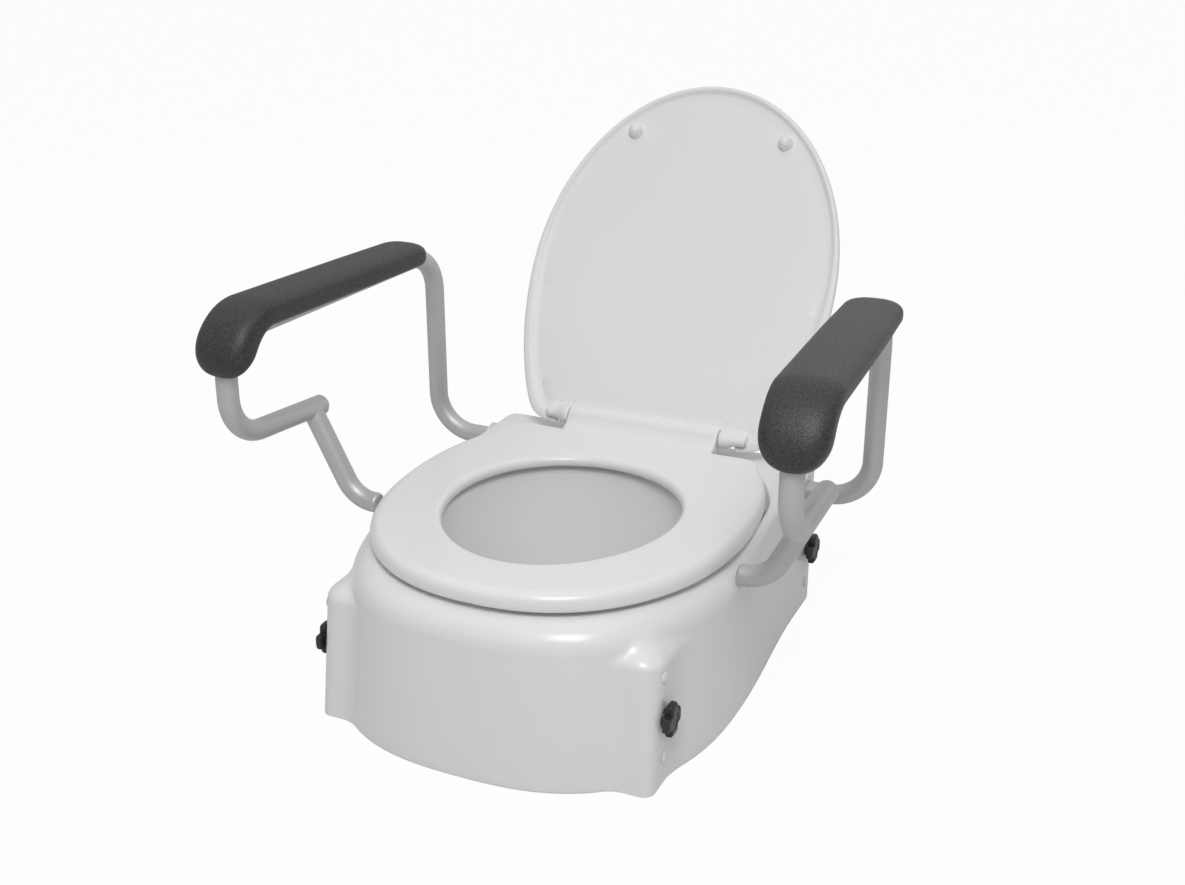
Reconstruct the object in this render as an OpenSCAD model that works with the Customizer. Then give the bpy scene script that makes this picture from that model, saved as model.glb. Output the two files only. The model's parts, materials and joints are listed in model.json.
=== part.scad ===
// Raised toilet seat with a hinged seat and lid, swing-up arms and four rim clamps.
// Millimetres. +Z is up, the front is -Y, and X = 0 is the plane of symmetry.
// Places are written from the centre of the seat opening at floor level. place() moves them all
// so that the origin is under the middle of the overall box.

/* [Body] */
// Greatest half width of the moulded body at its foot
body_half_w = 196; // [188:1:205]
// Reach of the body's foot in front of the opening's centre
body_front = 219; // [212:1:230]
// How much narrower each side is where it runs flat at the rear
rear_narrowing = 9; // [6:1:12]
// Reach of the body behind the opening's centre
body_rear = 258; // [254:1:270]
// Squareness of the front outline, where 2 is an ellipse
body_front_power = 2.6; // [2.3:0.1:3]
// Radius of the two rear upright corners
body_rear_corner = 14; // [11:1:20]
// Height of the deck that the seat rests over
deck_z = 156; // [150:1:160]
// Height of the rear shelf above that deck
shelf_rise = 6; // [3:0.5:6]
// Radius of the rounded shoulder at the front
shoulder_r = 28; // [20:1:32]
// Radius of the edge round the rear shelf
shelf_edge_r = 8; // [6:0.5:10]
// Lean of the front wall, in mm per mm of height
front_draft = 0.1; // [0.04:0.01:0.14]
// Thickness of the moulded walls
wall = 4; // [3:0.25:5]
// Height of the splash skirt's lower edge
skirt_foot_z = 28; // [16:1:60]
// How much the skirt narrows on its way down
skirt_taper = 10; // [4:1:16]

/* [Clamps] */
// How far the front clamp faces stand inside the body's greatest half width
ear_inset = 23; // [18:1:26]
// Reach of the front clamp ears in front of the opening's centre
ear_front = 180; // [176:1:186]
// Height at which the ears start to round over
ear_dome_z = 118; // [114:1:120]
// Place of the front clamps, ahead of the opening's centre
front_clamp_y = 150; // [146:1:154]
// Place of the rear clamps, behind the opening's centre
rear_clamp_y = 234; // [228:1:236]
// Height of the clamp hole in use
clamp_z = 68; // [64:1:70]
// Step between the three clamp holes
hole_step = 41; // [36:1:42]
// Diameter of the clamp holes
clamp_hole_d = 9; // [8.6:0.1:10]
// Diameter of the threaded studs
stud_d = 8; // [6:0.5:8]
// Diameter of the knobs over their lobes
knob_d = 33; // [30:1:42]
// Thickness of the knobs
knob_t = 11; // [10:1:16]
// Width of the clamp brackets
bracket_w = 26; // [20:1:28]
// Thickness of the rubber on the brackets
grip_t = 3; // [2:0.5:4]

/* [Seat] */
// Distance of the seat's sides inside the body's greatest half width
seat_inset = 11; // [11:0.5:14]
// Half length of the egg that the seat is cut from
seat_half_l = 222; // [218:1:224]
// Place of that egg's centre behind the opening's centre
seat_centre_y = 33; // [30:1:36]
// Height of the seat's top
seat_top_z = 179; // [177:1:184]
// Thickness of the seat
seat_t = 18; // [16:1:18]
// Half width of the opening
opening_half_w = 116; // [108:1:120]
// Half length of the opening
opening_half_l = 127; // [118:1:130]

/* [Lid] */
// Half width of the lid
lid_half_w = 180; // [176:1:184]
// Reach of the lid from its hinge line
lid_reach = 402; // [396:1:406]
// Thickness of the lid
lid_t = 4; // [3:0.5:5]
// Angle through which the lid stands open at rest
lid_open = 122; // [115:1:125]
// Height of the closed lid's inner face over the hinge line
lid_rise = 5.3; // [5:0.1:7]

/* [Hinge] */
// Distance of the seat and lid hinge ahead of the body's rear
hinge_inset = 42; // [40:1:46]
// Height of the hinge line
hinge_z = 186; // [185:0.5:188]
// Radius of the hinge barrels on the seat and lid
barrel_r = 11; // [10.5:0.25:12]
// Half width of the seat's rear tongue
tongue_half_w = 88; // [84:1:94]
// Width of the lid's hinge lugs
lug_w = 29; // [22:1:32]
// Diameter of the hinge pins
pin_d = 8; // [6:0.5:9]
// Distance of the hinge posts from the plane of symmetry
post_x = 64; // [58:1:68]

/* [Arms] */
// Diameter of the arm tubes
tube_d = 21; // [20:0.5:23]
// Wall of the arm tubes
tube_wall = 1.5; // [1:0.1:2]
// Bend radius of the arm tubes
bend_r = 45; // [40:1:48]
// Place of the arm pivots behind the opening's centre
pivot_y = 213; // [208:1:216]
// Height of the arm pivots
pivot_z = 145; // [142:0.5:146]
// Distance of the rear legs outside the body's greatest half width
leg_out = 61.6; // [58:0.2:74]
// Height of the top tubes' centre line
top_tube_z = 358; // [345:1:372]
// Distance from the rear leg to the front tube
arm_length = 358; // [345:1:370]
// Outward turn of the arms toward the front, in degrees
toe_out = 3; // [0:0.5:5]
// Height of the short tubes' centre line below the front bend
short_tube_z = 253; // [242:1:260]
// Fall of the short tubes toward the rear, in degrees
short_tube_fall = 4; // [0:0.5:6]
// Distance from the rear leg to the short tube's capped end
short_tube_end = 220; // [208:1:222]
// Place of the struts ahead of the opening's centre
strut_y = 22; // [16:1:24]
// Lean of the struts from upright, in degrees
strut_lean = 27; // [25:0.5:28]
// Bend radius of the struts
strut_bend_r = 36; // [32:1:44]
// Height of the cradles' centre line
cradle_z = 155; // [152:0.5:156]
// Reach of the cradles outside the body's greatest half width
cradle_out = 10; // [6:1:14]

/* [Pads] */
// Greatest width of the pads
pad_w = 62; // [56:1:66]
// Width of the pads at their front end
pad_front_w = 56; // [50:1:60]
// Thickness of the pads at the rear
pad_rear_t = 26; // [24:1:28]
// Thickness of the pads ahead of the front bend
pad_t = 29; // [27:1:34]
// Thickness of the pads round the front bend
pad_front_t = 36; // [32:1:40]
// Distance from the rear leg to the pad's rear end
pad_start = 42; // [36:1:52]

/* [Hidden] */
$fn = 64;

// Clearances: running fits, fixed fits, and faces of different bodies that only come close
run_gap = 0.05;
fixed_gap = 0.02;
near_gap = 0.3;

// What follows the body's width: the seat, the rear sides, the clamp faces, the arms and the cradles
seat_half_w = body_half_w - seat_inset;
body_rear_half_w = body_half_w - rear_narrowing;
ear_x = body_half_w - ear_inset;
leg_x = body_half_w + leg_out;
cradle_x = body_half_w + cradle_out;

hinge_y = body_rear - hinge_inset;
seat_bottom_z = seat_top_z - seat_t;
tube_r = tube_d / 2;
// Side of the blocks that only cut away, past the far edges of the seat and lid
cut_reach = 2 * seat_half_l;
strut_plug_t = 1.5;
// The strut meets the short tube's centre line at strut_y and leans in to the cradle
strut_top_x = leg_x + (pivot_y + strut_y) * tan(toe_out);
strut_top_z = short_tube_z - (arm_length - bend_r - (pivot_y + strut_y)) * tan(short_tube_fall);
strut_bend_z = cradle_z + strut_bend_r * (1 - sin(strut_lean));
strut_run = (strut_top_z - strut_bend_z) / cos(strut_lean);
strut_bend_x = strut_top_x - strut_run * sin(strut_lean) - strut_bend_r * cos(strut_lean);
strut_end_x = strut_bend_x - strut_plug_t;
pin_r = pin_d / 2;

// Small helpers

// Smooth step from 0 to 1 while v goes from a to b
function ease(v, a, b) = let (t = min(1, max(0, (v - a) / (b - a)))) t * t * (3 - 2 * t);
function mix(a, b, t) = a + (b - a) * t;
function unit(v) = v / norm(v);
// Signed power, for squarish rounds
function spow(v, p) = sign(v) * pow(abs(v), p);
// A half outline from front to rear, with x >= 0, closed by its mirror image
function mirrored(half) = concat(half, [for (i = [len(half) - 2:-1:1]) [-half[i][0], half[i][1]]]);
// Outward normals of a closed outline that runs counterclockwise seen from above
function normals(o) = let (n = len(o)) [for (i = [0:n - 1])
  let (d = unit(o[(i + 1) % n] - o[(i + n - 1) % n])) [d[1], -d[0]]];
// Triangles between the rings of a grid of points; wrap closes the last ring to the first
function grid_faces(rings, n, wrap) = [for (j = [0:rings - (wrap ? 1 : 2)], i = [0:n - 1], k = [0, 1])
  let (j2 = (j + 1) % rings, i2 = (i + 1) % n,
    a = j * n + i, b = j * n + i2, c = j2 * n + i2, d = j2 * n + i)
  k == 0 ? [a, c, b] : [a, d, c]];
// Fans from a single point to the first or last ring
function fan_start(n, point) = [for (i = [0:n - 1]) [point, i, (i + 1) % n]];
function fan_end(n, first, point) = [for (i = [0:n - 1]) [point, first + (i + 1) % n, first + i]];
function flat(rings) = [for (r = rings, p = r) p];

module place() translate([0, -origin_y, 0]) children();
// Right-hand work, mirrored for the left
module side(s) mirror([s == "left" ? 1 : 0, 0, 0]) children();
// A cylinder along X between two distances from the plane of symmetry
module rod_x(r, x0, x1, y, z) translate([x0, y, z]) rotate([0, 90, 0]) cylinder(r = r, h = x1 - x0);
module ring_x(r, bore, x0, x1, y, z) difference() {
  rod_x(r, x0, x1, y, z);
  rod_x(bore, x0 - 1, x1 + 1, y, z);
}

// Outlines seen from above. The angle runs from 0 at the front to 180 at the rear.

function egg(half_w, half_l, centre_y, pear, full, a) =
  [half_w * spow(sin(a), full) * (1 - pear * cos(a)), centre_y - half_l * cos(a)];
// The seat keeps its width toward the rear
function seat_pear(a) = mix(-0.05, 0.02, ease(acos(cos(a)), 60, 120));
seat_full = 0.9;
opening_pear = 0.07;
function seat_point(a, grow) =
  egg(seat_half_w + grow, seat_half_l + grow, seat_centre_y, seat_pear(a), seat_full, a);
function opening_point(a, grow) =
  egg(opening_half_w + grow, opening_half_l + grow, 0, opening_pear, 1, a);

// Raiser body

side_flat_y = 195;
front_angles = [each [0:4:32], each [34:1.75:58], each [61:4.5:88]];
function front_radius(a) = pow(pow(abs(sin(a)) / body_half_w, body_front_power)
  + pow(abs(cos(a)) / body_front, body_front_power), -1 / body_front_power);
body_half = concat(
  [for (a = front_angles) front_radius(a) * [sin(a), -cos(a)]],
  [for (y = [0:32:side_flat_y]) [mix(body_half_w, body_rear_half_w, ease(y, 0, side_flat_y)), y]],
  [for (a = [0:22.5:90]) [body_rear_half_w - body_rear_corner * (1 - cos(a)),
    body_rear - body_rear_corner * (1 - sin(a))]],
  [for (x = [0.66, 0.33, 0]) [x * (body_rear_half_w - body_rear_corner), body_rear]]);
body_plan = mirrored(body_half);
body_n = len(body_plan);
body_normal = normals(body_plan);
body_angle = [for (p = body_plan) abs(atan2(p[0], -p[1]))];
seat_angle = [for (p = body_plan) atan2(p[0], seat_centre_y - p[1])];
// Toward the rear the shelf rises, its edge tightens and the wall stands upright
rearward = [for (a = body_angle) ease(a, 85, 118)];
shelf_z = [for (t = rearward) deck_z + shelf_rise * t];
edge_r = [for (t = rearward) mix(shoulder_r, shelf_edge_r, t)];
draft = [for (a = body_angle) front_draft * (1 - ease(a, 50, 95))];

// The front ears: a squared outline that shows wherever it passes the body's own
ear_blend_power = 90;
ear_foot_r = 11;
ear_top_r = 21;
// Polar radius of a box with rounded corners: flat side, flat front, or the corner's arc between them
function ear_radius(a, z) = let (u = [abs(sin(a)), abs(cos(a))], h = min(z, ear_dome_z),
  r = mix(ear_foot_r, ear_top_r, h / ear_dome_z), f = ear_front - front_draft * h, c = [ear_x - r, f - r],
  at_side = ear_x / max(u[0], 0.001), at_front = f / max(u[1], 0.001))
  at_side * u[1] <= c[1] ? at_side : at_front * u[0] <= c[0] ? at_front :
  u * c + sqrt(pow(u * c, 2) - c * c + r * r);
// The ears round over, then slope back into the shoulder
ear_round = 10;
ear_slope = 1.6;
function ear_drop(z) = let (h = max(0, z - ear_dome_z))
  h < ear_round ? h * h * ear_slope / (2 * ear_round) : ear_slope * (h - ear_round / 2);
function with_ear(p, z, inset) = p[1] > -20 ? p :
  let (r = norm(p), e = ear_radius(atan2(p[0], -p[1]), z) - inset - ear_drop(z))
  p * pow(1 + pow(e / r, ear_blend_power), 1 / ear_blend_power);
function body_point(i, inset, z, skin) =
  let (in = inset + draft[i] * min(z, shelf_z[i] - edge_r[i]) + skin,
    p = with_ear(body_plan[i] - body_normal[i] * in, z, skin)) [p[0], p[1], z];
function wall_ring(z, skin) = [for (i = [0:body_n - 1]) body_point(i, 0, z, skin)];
function shoulder_ring(a, skin) = [for (i = [0:body_n - 1])
  let (r = edge_r[i] - skin)
  body_point(i, r * (1 - cos(a)), shelf_z[i] - edge_r[i] + r * sin(a), skin)];
// The recess under the seat: its edge follows the seat, and stops short of the rear shelf's edge
recess_grow = 6;
recess_run = 5;
recess_rear_y = body_rear - 26;
function recess_ring(grow, lift, drop) = [for (i = [0:body_n - 1])
  let (p = seat_point(seat_angle[i], grow), q = [p[0], min(p[1], recess_rear_y + grow - recess_grow)],
    s = body_point(i, edge_r[i], shelf_z[i], 0), c = [0, seat_centre_y],
    r = min(norm(q - c), norm([s[0], s[1]] - c) - 1 - recess_grow + grow))
  [each c + unit(q - c) * r, (lift ? shelf_z[i] : deck_z) - drop]];
lip_r = 8;
function opening_ring(grow, z) = [for (p = body_plan)
  [each opening_point(atan2(p[0], -p[1]), grow), z]];
skirt_gap = 2;
body_rings = concat(
  [for (z = [0, 60, ear_dome_z - 3, ear_dome_z + 2, ear_dome_z + 6, ear_dome_z + 9]) wall_ring(z, 0)],
  [for (a = [0, 14, 28, 44, 60, 76, 90]) shoulder_ring(a, 0)],
  [recess_ring(recess_grow, true, 0), recess_ring(recess_grow - recess_run, false, 0)],
  [for (a = [0:30:90]) opening_ring(skirt_gap + lip_r * (1 - sin(a)), deck_z - lip_r * (1 - cos(a)))],
  [opening_ring(skirt_gap - skirt_taper, skirt_foot_z),
    opening_ring(skirt_gap - skirt_taper + wall, skirt_foot_z),
    opening_ring(skirt_gap + wall, deck_z - lip_r - wall), opening_ring(skirt_gap + lip_r, deck_z - wall)],
  [recess_ring(recess_grow - recess_run, false, wall), recess_ring(recess_grow, true, wall)],
  [for (a = [90, 60, 30, 0]) shoulder_ring(a, wall)],
  [for (z = [ear_dome_z + 6, ear_dome_z - 3, 0]) wall_ring(z, wall)]);

module body_shell() polyhedron(flat(body_rings), grid_faces(len(body_rings), body_n, true), convexity = 12);

boss_r = 15.5;
bush_r = 13.2;
boss_x = body_rear_half_w - 34;
cradle_wall = 3;
// The cradles close in a round behind the strut ends, clear of the seat's edge
cradle_back_x = seat_half_w + 3;
cradle_back_end = strut_end_x - 0.5;
cradle_r = tube_r + near_gap;
clamp_holes = [clamp_z - hole_step, clamp_z, clamp_z + hole_step];
function clamp_face(e) = e == "front" ? ear_x : body_rear_half_w;
function clamp_y(e) = e == "front" ? -front_clamp_y : rear_clamp_y;
// Flat seats for the knobs outside and the front retaining rings inside
spot_depth = 0.3;
ring_seat_r = stud_d / 2 + 5;
bolt_r = 3;
bolt_y = hinge_y - 3.5;

module raiser_body() color("white") place() difference() {
  union() {
    body_shell();
    for (s = ["left", "right"]) side(s) {
      rod_x(boss_r, boss_x, body_rear_half_w - wall / 2, pivot_y, pivot_z);
      rod_x(cradle_r + cradle_wall, cradle_back_x, cradle_back_end, -strut_y, cradle_z);
      difference() {
        rod_x(cradle_r + cradle_wall, body_half_w - shoulder_r, cradle_x, -strut_y, cradle_z);
        translate([0, -strut_y - tube_d, cradle_z]) cube([cradle_x + 1, 2 * tube_d, tube_d]);
      }
    }
  }
  for (s = ["left", "right"]) side(s) {
    rod_x(bush_r, boss_x - 1, body_rear_half_w + 1, pivot_y, pivot_z);
    rod_x(cradle_r, strut_end_x - near_gap, cradle_x + 1, -strut_y, cradle_z);
    translate([strut_end_x - near_gap, -strut_y - cradle_r, cradle_z])
      cube([cut_reach, 2 * cradle_r, tube_d]);
    for (e = ["front", "rear"]) {
      for (z = clamp_holes) rod_x(clamp_hole_d / 2, clamp_face(e) - 12, clamp_face(e) + 5, clamp_y(e), z);
      rod_x(knob_d / 2, clamp_face(e) - spot_depth, clamp_face(e) + 5, clamp_y(e), clamp_z);
      if (e == "front") rod_x(ring_seat_r, ear_x - 16, ear_x - wall, clamp_y(e), clamp_z);
    }
    translate([post_x, bolt_y, deck_z - 20]) cylinder(r = bolt_r + near_gap, h = 30);
  }
}

plug_head_r = 6;
plug_head_t = 2;
plug_length = 9;
module hole_plugs() color("whitesmoke") place()
  for (s = ["left", "right"], e = ["front", "rear"], z = [clamp_z - hole_step, clamp_z + hole_step]) side(s)
    translate([clamp_face(e) + spot_depth + 0.1, clamp_y(e), z]) rotate([0, 90, 0]) {
      translate([0, 0, -plug_length]) cylinder(d = clamp_hole_d - 2 * fixed_gap, h = plug_length);
      rotate_extrude() intersection() {
        translate([0, plug_head_t - 2 * plug_head_r]) circle(r = 2 * plug_head_r);
        square([plug_head_r, plug_head_t]);
      }
    }

// Seat

seat_steps = 72;
seat_edge_r = 10;
seat_foot_r = 4;
seat_inner_r = 8;
// Cross-section of the seat: distance in from its outer edge, negative from its inner edge, and height
seat_section = concat(
  [for (a = [0:30:90]) [seat_foot_r * (1 - sin(a)), seat_bottom_z + seat_foot_r * (1 - cos(a))]],
  [for (a = [0:22.5:90]) [seat_edge_r * (1 - cos(a)), seat_top_z - seat_edge_r * (1 - sin(a))]],
  [for (a = [90:-30:0]) [-seat_inner_r * (1 - cos(a)) - 0.001, seat_top_z - seat_inner_r * (1 - sin(a))]],
  [for (a = [90:-45:0]) [-seat_foot_r * (1 - sin(a)) - 0.001, seat_bottom_z + seat_foot_r * (1 - cos(a))]]);
seat_rings = [for (q = seat_section) [for (i = [0:seat_steps - 1])
  let (a = 360 * i / seat_steps, o = seat_point(a, 0), c = opening_point(a, 0), d = unit(c - o))
  [each (q[0] >= 0 ? o + d * q[0] : c + d * q[0]), q[1]]]];
notch_y = hinge_y - 24;
ramp_r = 21;
ramp_y = hinge_y - sqrt(pow(barrel_r + ramp_r, 2) - pow(seat_top_z + ramp_r - hinge_z, 2));
slot_half_w = 9;
post_half_w = slot_half_w - 1;
post_head_r = 6.5;
pin_inner_x = post_x - 20;

// Barrel and the hollow ramp up to it, in the plane of Y and Z
module tongue_section() difference() {
  union() {
    translate([hinge_y, hinge_z]) circle(r = barrel_r);
    let (touch = barrel_r * unit([ramp_y - hinge_y, seat_top_z + ramp_r - hinge_z]))
      polygon([[ramp_y, seat_bottom_z], [hinge_y, seat_bottom_z], [hinge_y, hinge_z],
        [hinge_y, hinge_z] + touch, [ramp_y, seat_top_z]]);
  }
  translate([ramp_y, seat_top_z + ramp_r]) circle(r = ramp_r);
}
// Extrude a section drawn in Y and Z along X
module along_x(x0, x1) translate([x0, 0, 0]) rotate([90, 0, 90]) linear_extrude(x1 - x0) children();

module seat_ring() color("white") place() difference() {
  union() {
    difference() {
      polyhedron(flat(seat_rings), grid_faces(len(seat_rings), seat_steps, true), convexity = 8);
      translate([-cut_reach, ramp_y, 0]) cube([2 * cut_reach, cut_reach, cut_reach]);
      for (s = ["left", "right"]) side(s)
        translate([tongue_half_w, notch_y, 0]) cube([cut_reach, cut_reach, cut_reach]);
    }
    along_x(-tongue_half_w, tongue_half_w) tongue_section();
  }
  for (s = ["left", "right"]) side(s) {
    rod_x(pin_r + run_gap, pin_inner_x - 1, tongue_half_w + 1, hinge_y, hinge_z);
    rod_x(post_head_r + 0.6, post_x - slot_half_w, post_x + slot_half_w, hinge_y, hinge_z);
    translate([post_x - slot_half_w, bolt_y - post_head_r - 1, 0])
      cube([2 * slot_half_w, cut_reach, hinge_z + post_head_r - 1.5]);
  }
}

buffer_r = 8;
buffer_angles = [42, 122];
module seat_buffers() color("dimgray") place()
  for (s = ["left", "right"], a = buffer_angles) side(s)
    let (p = (seat_point(a, 0) + opening_point(a, 0)) / 2)
      translate([p[0], p[1], deck_z + near_gap])
        cylinder(r = buffer_r, h = seat_bottom_z - deck_z - near_gap);

// Lid, drawn closed and then turned open about the hinge line

lid_steps = 64;
lid_mid = 170;
lid_tail = 275;
lid_foot = -5;
lid_corner_power = 24;
lid_inner_z = hinge_z + lid_rise;
lid_crown = 5;
lip_drop = 4;
// Distance from the lid's middle to its edge; the tail is cut straight near the hinge
function lid_radius(a) = cos(a) >= 0
  ? 1 / norm([sin(a) / lid_half_w, cos(a) / (lid_reach - lid_mid)])
  : let (e = 1 / norm([sin(a) / lid_half_w, cos(a) / lid_tail]), f = (lid_mid - lid_foot) / -cos(a))
    pow(pow(e, -lid_corner_power) + pow(f, -lid_corner_power), -1 / lid_corner_power);
// Rim section: distance in from the edge, and height over the inner face
lid_rim = [[9, 0], [7, -lip_drop * 0.6], [4.5, -lip_drop], [1.5, -lip_drop * 0.85], [0, -1],
  [0.8, lid_t * 0.5], [4, lid_t]];
lid_shares = [0.3, 0.6, 0.85];
function lid_ring(r, z) = [for (i = [0:lid_steps - 1]) let (a = 360 * i / lid_steps)
  [r(a) * sin(a), hinge_y - lid_mid - r(a) * cos(a), z]];
lid_rings = concat(
  [for (f = lid_shares) lid_ring(function (a) f * lid_radius(a), lid_inner_z + lid_crown * (1 - f * f))],
  [for (p = lid_rim) lid_ring(function (a) lid_radius(a) - p[0], lid_inner_z + p[1])],
  [for (f = [0.85, 0.6, 0.3]) lid_ring(function (a) f * lid_radius(a),
    lid_inner_z + lid_t + lid_crown * (1 - f * f))]);
lid_points = concat(flat(lid_rings),
  [for (z = [0, lid_t]) [0, hinge_y - lid_mid, lid_inner_z + lid_crown + z]]);
lid_count = len(lid_rings) * lid_steps;
lid_faces = concat(grid_faces(len(lid_rings), lid_steps, false), fan_start(lid_steps, lid_count),
  fan_end(lid_steps, lid_count - lid_steps, lid_count + 1));
lug_x0 = tongue_half_w + 1.5;
lug_x1 = lug_x0 + lug_w;
lid_gap_reach = barrel_r + 2;
lug_strip = 20;

module opened() translate([0, hinge_y, hinge_z]) rotate([-lid_open, 0, 0])
  translate([0, -hinge_y, -hinge_z]) children();

module lid() color("white") place() opened() difference() {
  union() {
    polyhedron(lid_points, lid_faces, convexity = 6);
    for (s = ["left", "right"]) side(s) hull() {
      rod_x(barrel_r, lug_x0, lug_x1, hinge_y, hinge_z, $fn = 32);
      translate([lug_x0, hinge_y - lug_strip, lid_inner_z]) cube([lug_w, lug_strip, lid_t - 1]);
    }
  }
  translate([-lug_x0, hinge_y - lid_gap_reach, 0]) cube([2 * lug_x0, cut_reach, cut_reach]);
  for (s = ["left", "right"]) side(s) rod_x(pin_r + run_gap, lug_x0 - 1, lug_x1 + 1, hinge_y, hinge_z);
}

lid_buffer_x = 90;
lid_buffer_reach = 341;
lid_buffer_r = 7;
lid_buffer_sink = 0.7;
lid_buffer_h = lid_inner_z - seat_top_z - near_gap;
// Crown of the lid's inner face where the buffers sit
lid_buffer_root = lid_crown * (1 - pow(norm([lid_buffer_x / lid_half_w,
  (lid_buffer_reach - lid_mid) / (lid_reach - lid_mid)]), 2));
module lid_buffers() color("whitesmoke") place() opened() for (s = ["left", "right"]) side(s)
  translate([lid_buffer_x, hinge_y - lid_buffer_reach, lid_inner_z + lid_buffer_root - lid_buffer_sink])
    rotate([180, 0, 0]) rotate_extrude() let (h = lid_buffer_h + lid_buffer_root - lid_buffer_sink) {
      square([lid_buffer_r, h - lid_buffer_r]);
      translate([0, h - lid_buffer_r]) intersection() {
        circle(r = lid_buffer_r);
        square(lid_buffer_r);
      }
    }

// The overall box runs from the body's foot to the back of the open lid
lid_back = max([for (p = lid_rim)
  -(lid_reach - p[0]) * cos(lid_open) + (lid_rise + p[1]) * sin(lid_open)]);
origin_y = (hinge_y + lid_back - body_front) / 2;

// Hinge

post_foot_t = 3;
post_foot = [26, 24];
post_rear = 3;
module hinge_post(s) color("white") place() side(s) difference() {
  union() {
    translate([post_x - post_foot[0] / 2, bolt_y - post_foot[1] / 2, deck_z])
      cube([post_foot[0], post_foot[1], post_foot_t]);
    translate([post_x - post_half_w, bolt_y - post_head_r, deck_z])
      cube([2 * post_half_w, hinge_y + post_rear - bolt_y + post_head_r, hinge_z - deck_z]);
    rod_x(post_head_r, post_x - post_half_w, post_x + post_half_w, hinge_y, hinge_z);
  }
  rod_x(pin_r + fixed_gap, post_x - slot_half_w, post_x + slot_half_w, hinge_y, hinge_z);
  translate([post_x, bolt_y, deck_z - 1]) cylinder(r = bolt_r + fixed_gap, h = bolt_grip + 1);
}

bolt_grip = 16;
bolt_head_h = 4;
module hinge_pin(s) color("silver") place() side(s)
  rod_x(pin_r, pin_inner_x, lug_x1 - near_gap, hinge_y, hinge_z);
module hinge_bolt(s) color("silver") place() side(s) translate([post_x, bolt_y, deck_z - wall]) {
  cylinder(r = bolt_r, h = wall + bolt_grip - 1);
  translate([0, 0, -1.5]) cylinder(r = 3 * bolt_r, h = 1.5);
  translate([0, 0, -1.5 - bolt_head_h]) cylinder(r = 2 * bolt_r, h = bolt_head_h, $fn = 6);
}

// Arms

bush_flange_r = 16;
bush_flange_t = 2.5;
module arm_bush(s) color("gainsboro") place() side(s) difference() {
  union() {
    rod_x(bush_r - fixed_gap, boss_x, body_rear_half_w + run_gap, pivot_y, pivot_z);
    rod_x(bush_flange_r, body_rear_half_w + run_gap, body_rear_half_w + bush_flange_t, pivot_y, pivot_z);
  }
  rod_x(tube_r + run_gap, boss_x - 1, body_rear_half_w + 5, pivot_y, pivot_z);
}

tube_end_x = boss_x - 1;
rear_bend_z = pivot_z + bend_r;
top_bend_z = top_tube_z - bend_r;
low_bend_z = round(100 * (short_tube_z + bend_r * cos(short_tube_fall))) / 100;
front_bend_q = arm_length - bend_r;

module tube_ring(r, bore) difference() {
  circle(r = r);
  if (bore > 0) circle(r = bore);
}
module tube_bend(bend, from, turn, r, bore) rotate([0, 0, from]) rotate_extrude(angle = turn)
  translate([bend, 0]) tube_ring(r, bore);
// The upright plane of the arm loop: X forward from the rear leg, Y up
module arm_plane() translate([leg_x, pivot_y, 0]) rotate([0, 0, toe_out - 90]) rotate([90, 0, 0]) children();
module straight(x0, x1, y, r, bore) translate([x0, y, 0]) rotate([0, 90, 0])
  linear_extrude(x1 - x0) tube_ring(r, bore);
module upright(x, y0, y1, r, bore) translate([x, y1, 0]) rotate([90, 0, 0])
  linear_extrude(y1 - y0) tube_ring(r, bore);
module top_run(r, bore) {
  straight(bend_r, front_bend_q, top_tube_z, r, bore);
  translate([front_bend_q, top_bend_z]) tube_bend(bend_r, 0, 90, r, bore);
}
// The tube is joined over inner sleeves where the pivot bend meets the leg and where the short run begins
leg_joint_z = rear_bend_z + 10;
sleeve_l = 16;
joint_gap = 0.05;
// The short tube's own frame: its origin is the middle of the lower bend
module short_frame() translate([front_bend_q, low_bend_z]) rotate([0, 0, short_tube_fall]) children();
short_tube_l = (front_bend_q + bend_r * sin(short_tube_fall) - short_tube_end) / cos(short_tube_fall);
module arm_tube(s) color("silver") place() side(s) let (bore = tube_r - tube_wall) {
  translate([tube_end_x, pivot_y, pivot_z]) rotate([0, 90, 0])
    linear_extrude(leg_x - bend_r - tube_end_x) tube_ring(tube_r, bore);
  translate([leg_x - bend_r, pivot_y, rear_bend_z]) rotate([90, 0, 0])
    tube_bend(bend_r, -90, 90, tube_r, bore);
  translate([leg_x, pivot_y, rear_bend_z]) linear_extrude(leg_joint_z - rear_bend_z) tube_ring(tube_r, bore);
  translate([leg_x, pivot_y, leg_joint_z - sleeve_l / 2]) linear_extrude(sleeve_l)
    tube_ring(bore + tube_wall / 2, bore - tube_wall);
  arm_plane() {
    upright(0, leg_joint_z + joint_gap, top_bend_z, tube_r, bore);
    translate([bend_r, top_bend_z]) tube_bend(bend_r, 90, 90, tube_r, bore);
    top_run(tube_r, bore);
    upright(arm_length, low_bend_z, top_bend_z, tube_r, bore);
    translate([front_bend_q, low_bend_z]) mirror([0, 1, 0])
      tube_bend(bend_r, 0, 90 - short_tube_fall, tube_r, bore);
    short_frame() {
      straight(-short_tube_l, -joint_gap, -bend_r, tube_r, bore);
      straight(-sleeve_l / 2, sleeve_l / 4, -bend_r, bore + tube_wall / 2, bore - tube_wall);
    }
  }
}

module arm_strut(s) color("silver") place() side(s) let (bore = tube_r - tube_wall) difference() {
  translate([0, -strut_y, 0]) rotate([90, 0, 0]) {
    translate([strut_top_x, strut_top_z]) rotate([0, 0, -strut_lean]) {
      upright(0, -strut_run, 0, tube_r, bore);
      translate([-strut_bend_r, -strut_run]) mirror([0, 1, 0])
        tube_bend(strut_bend_r, 0, 90 - strut_lean, tube_r, bore);
    }
  }
  arm_plane() short_frame() straight(-short_tube_l, 0, -bend_r, tube_r + fixed_gap, 0);
}

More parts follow.
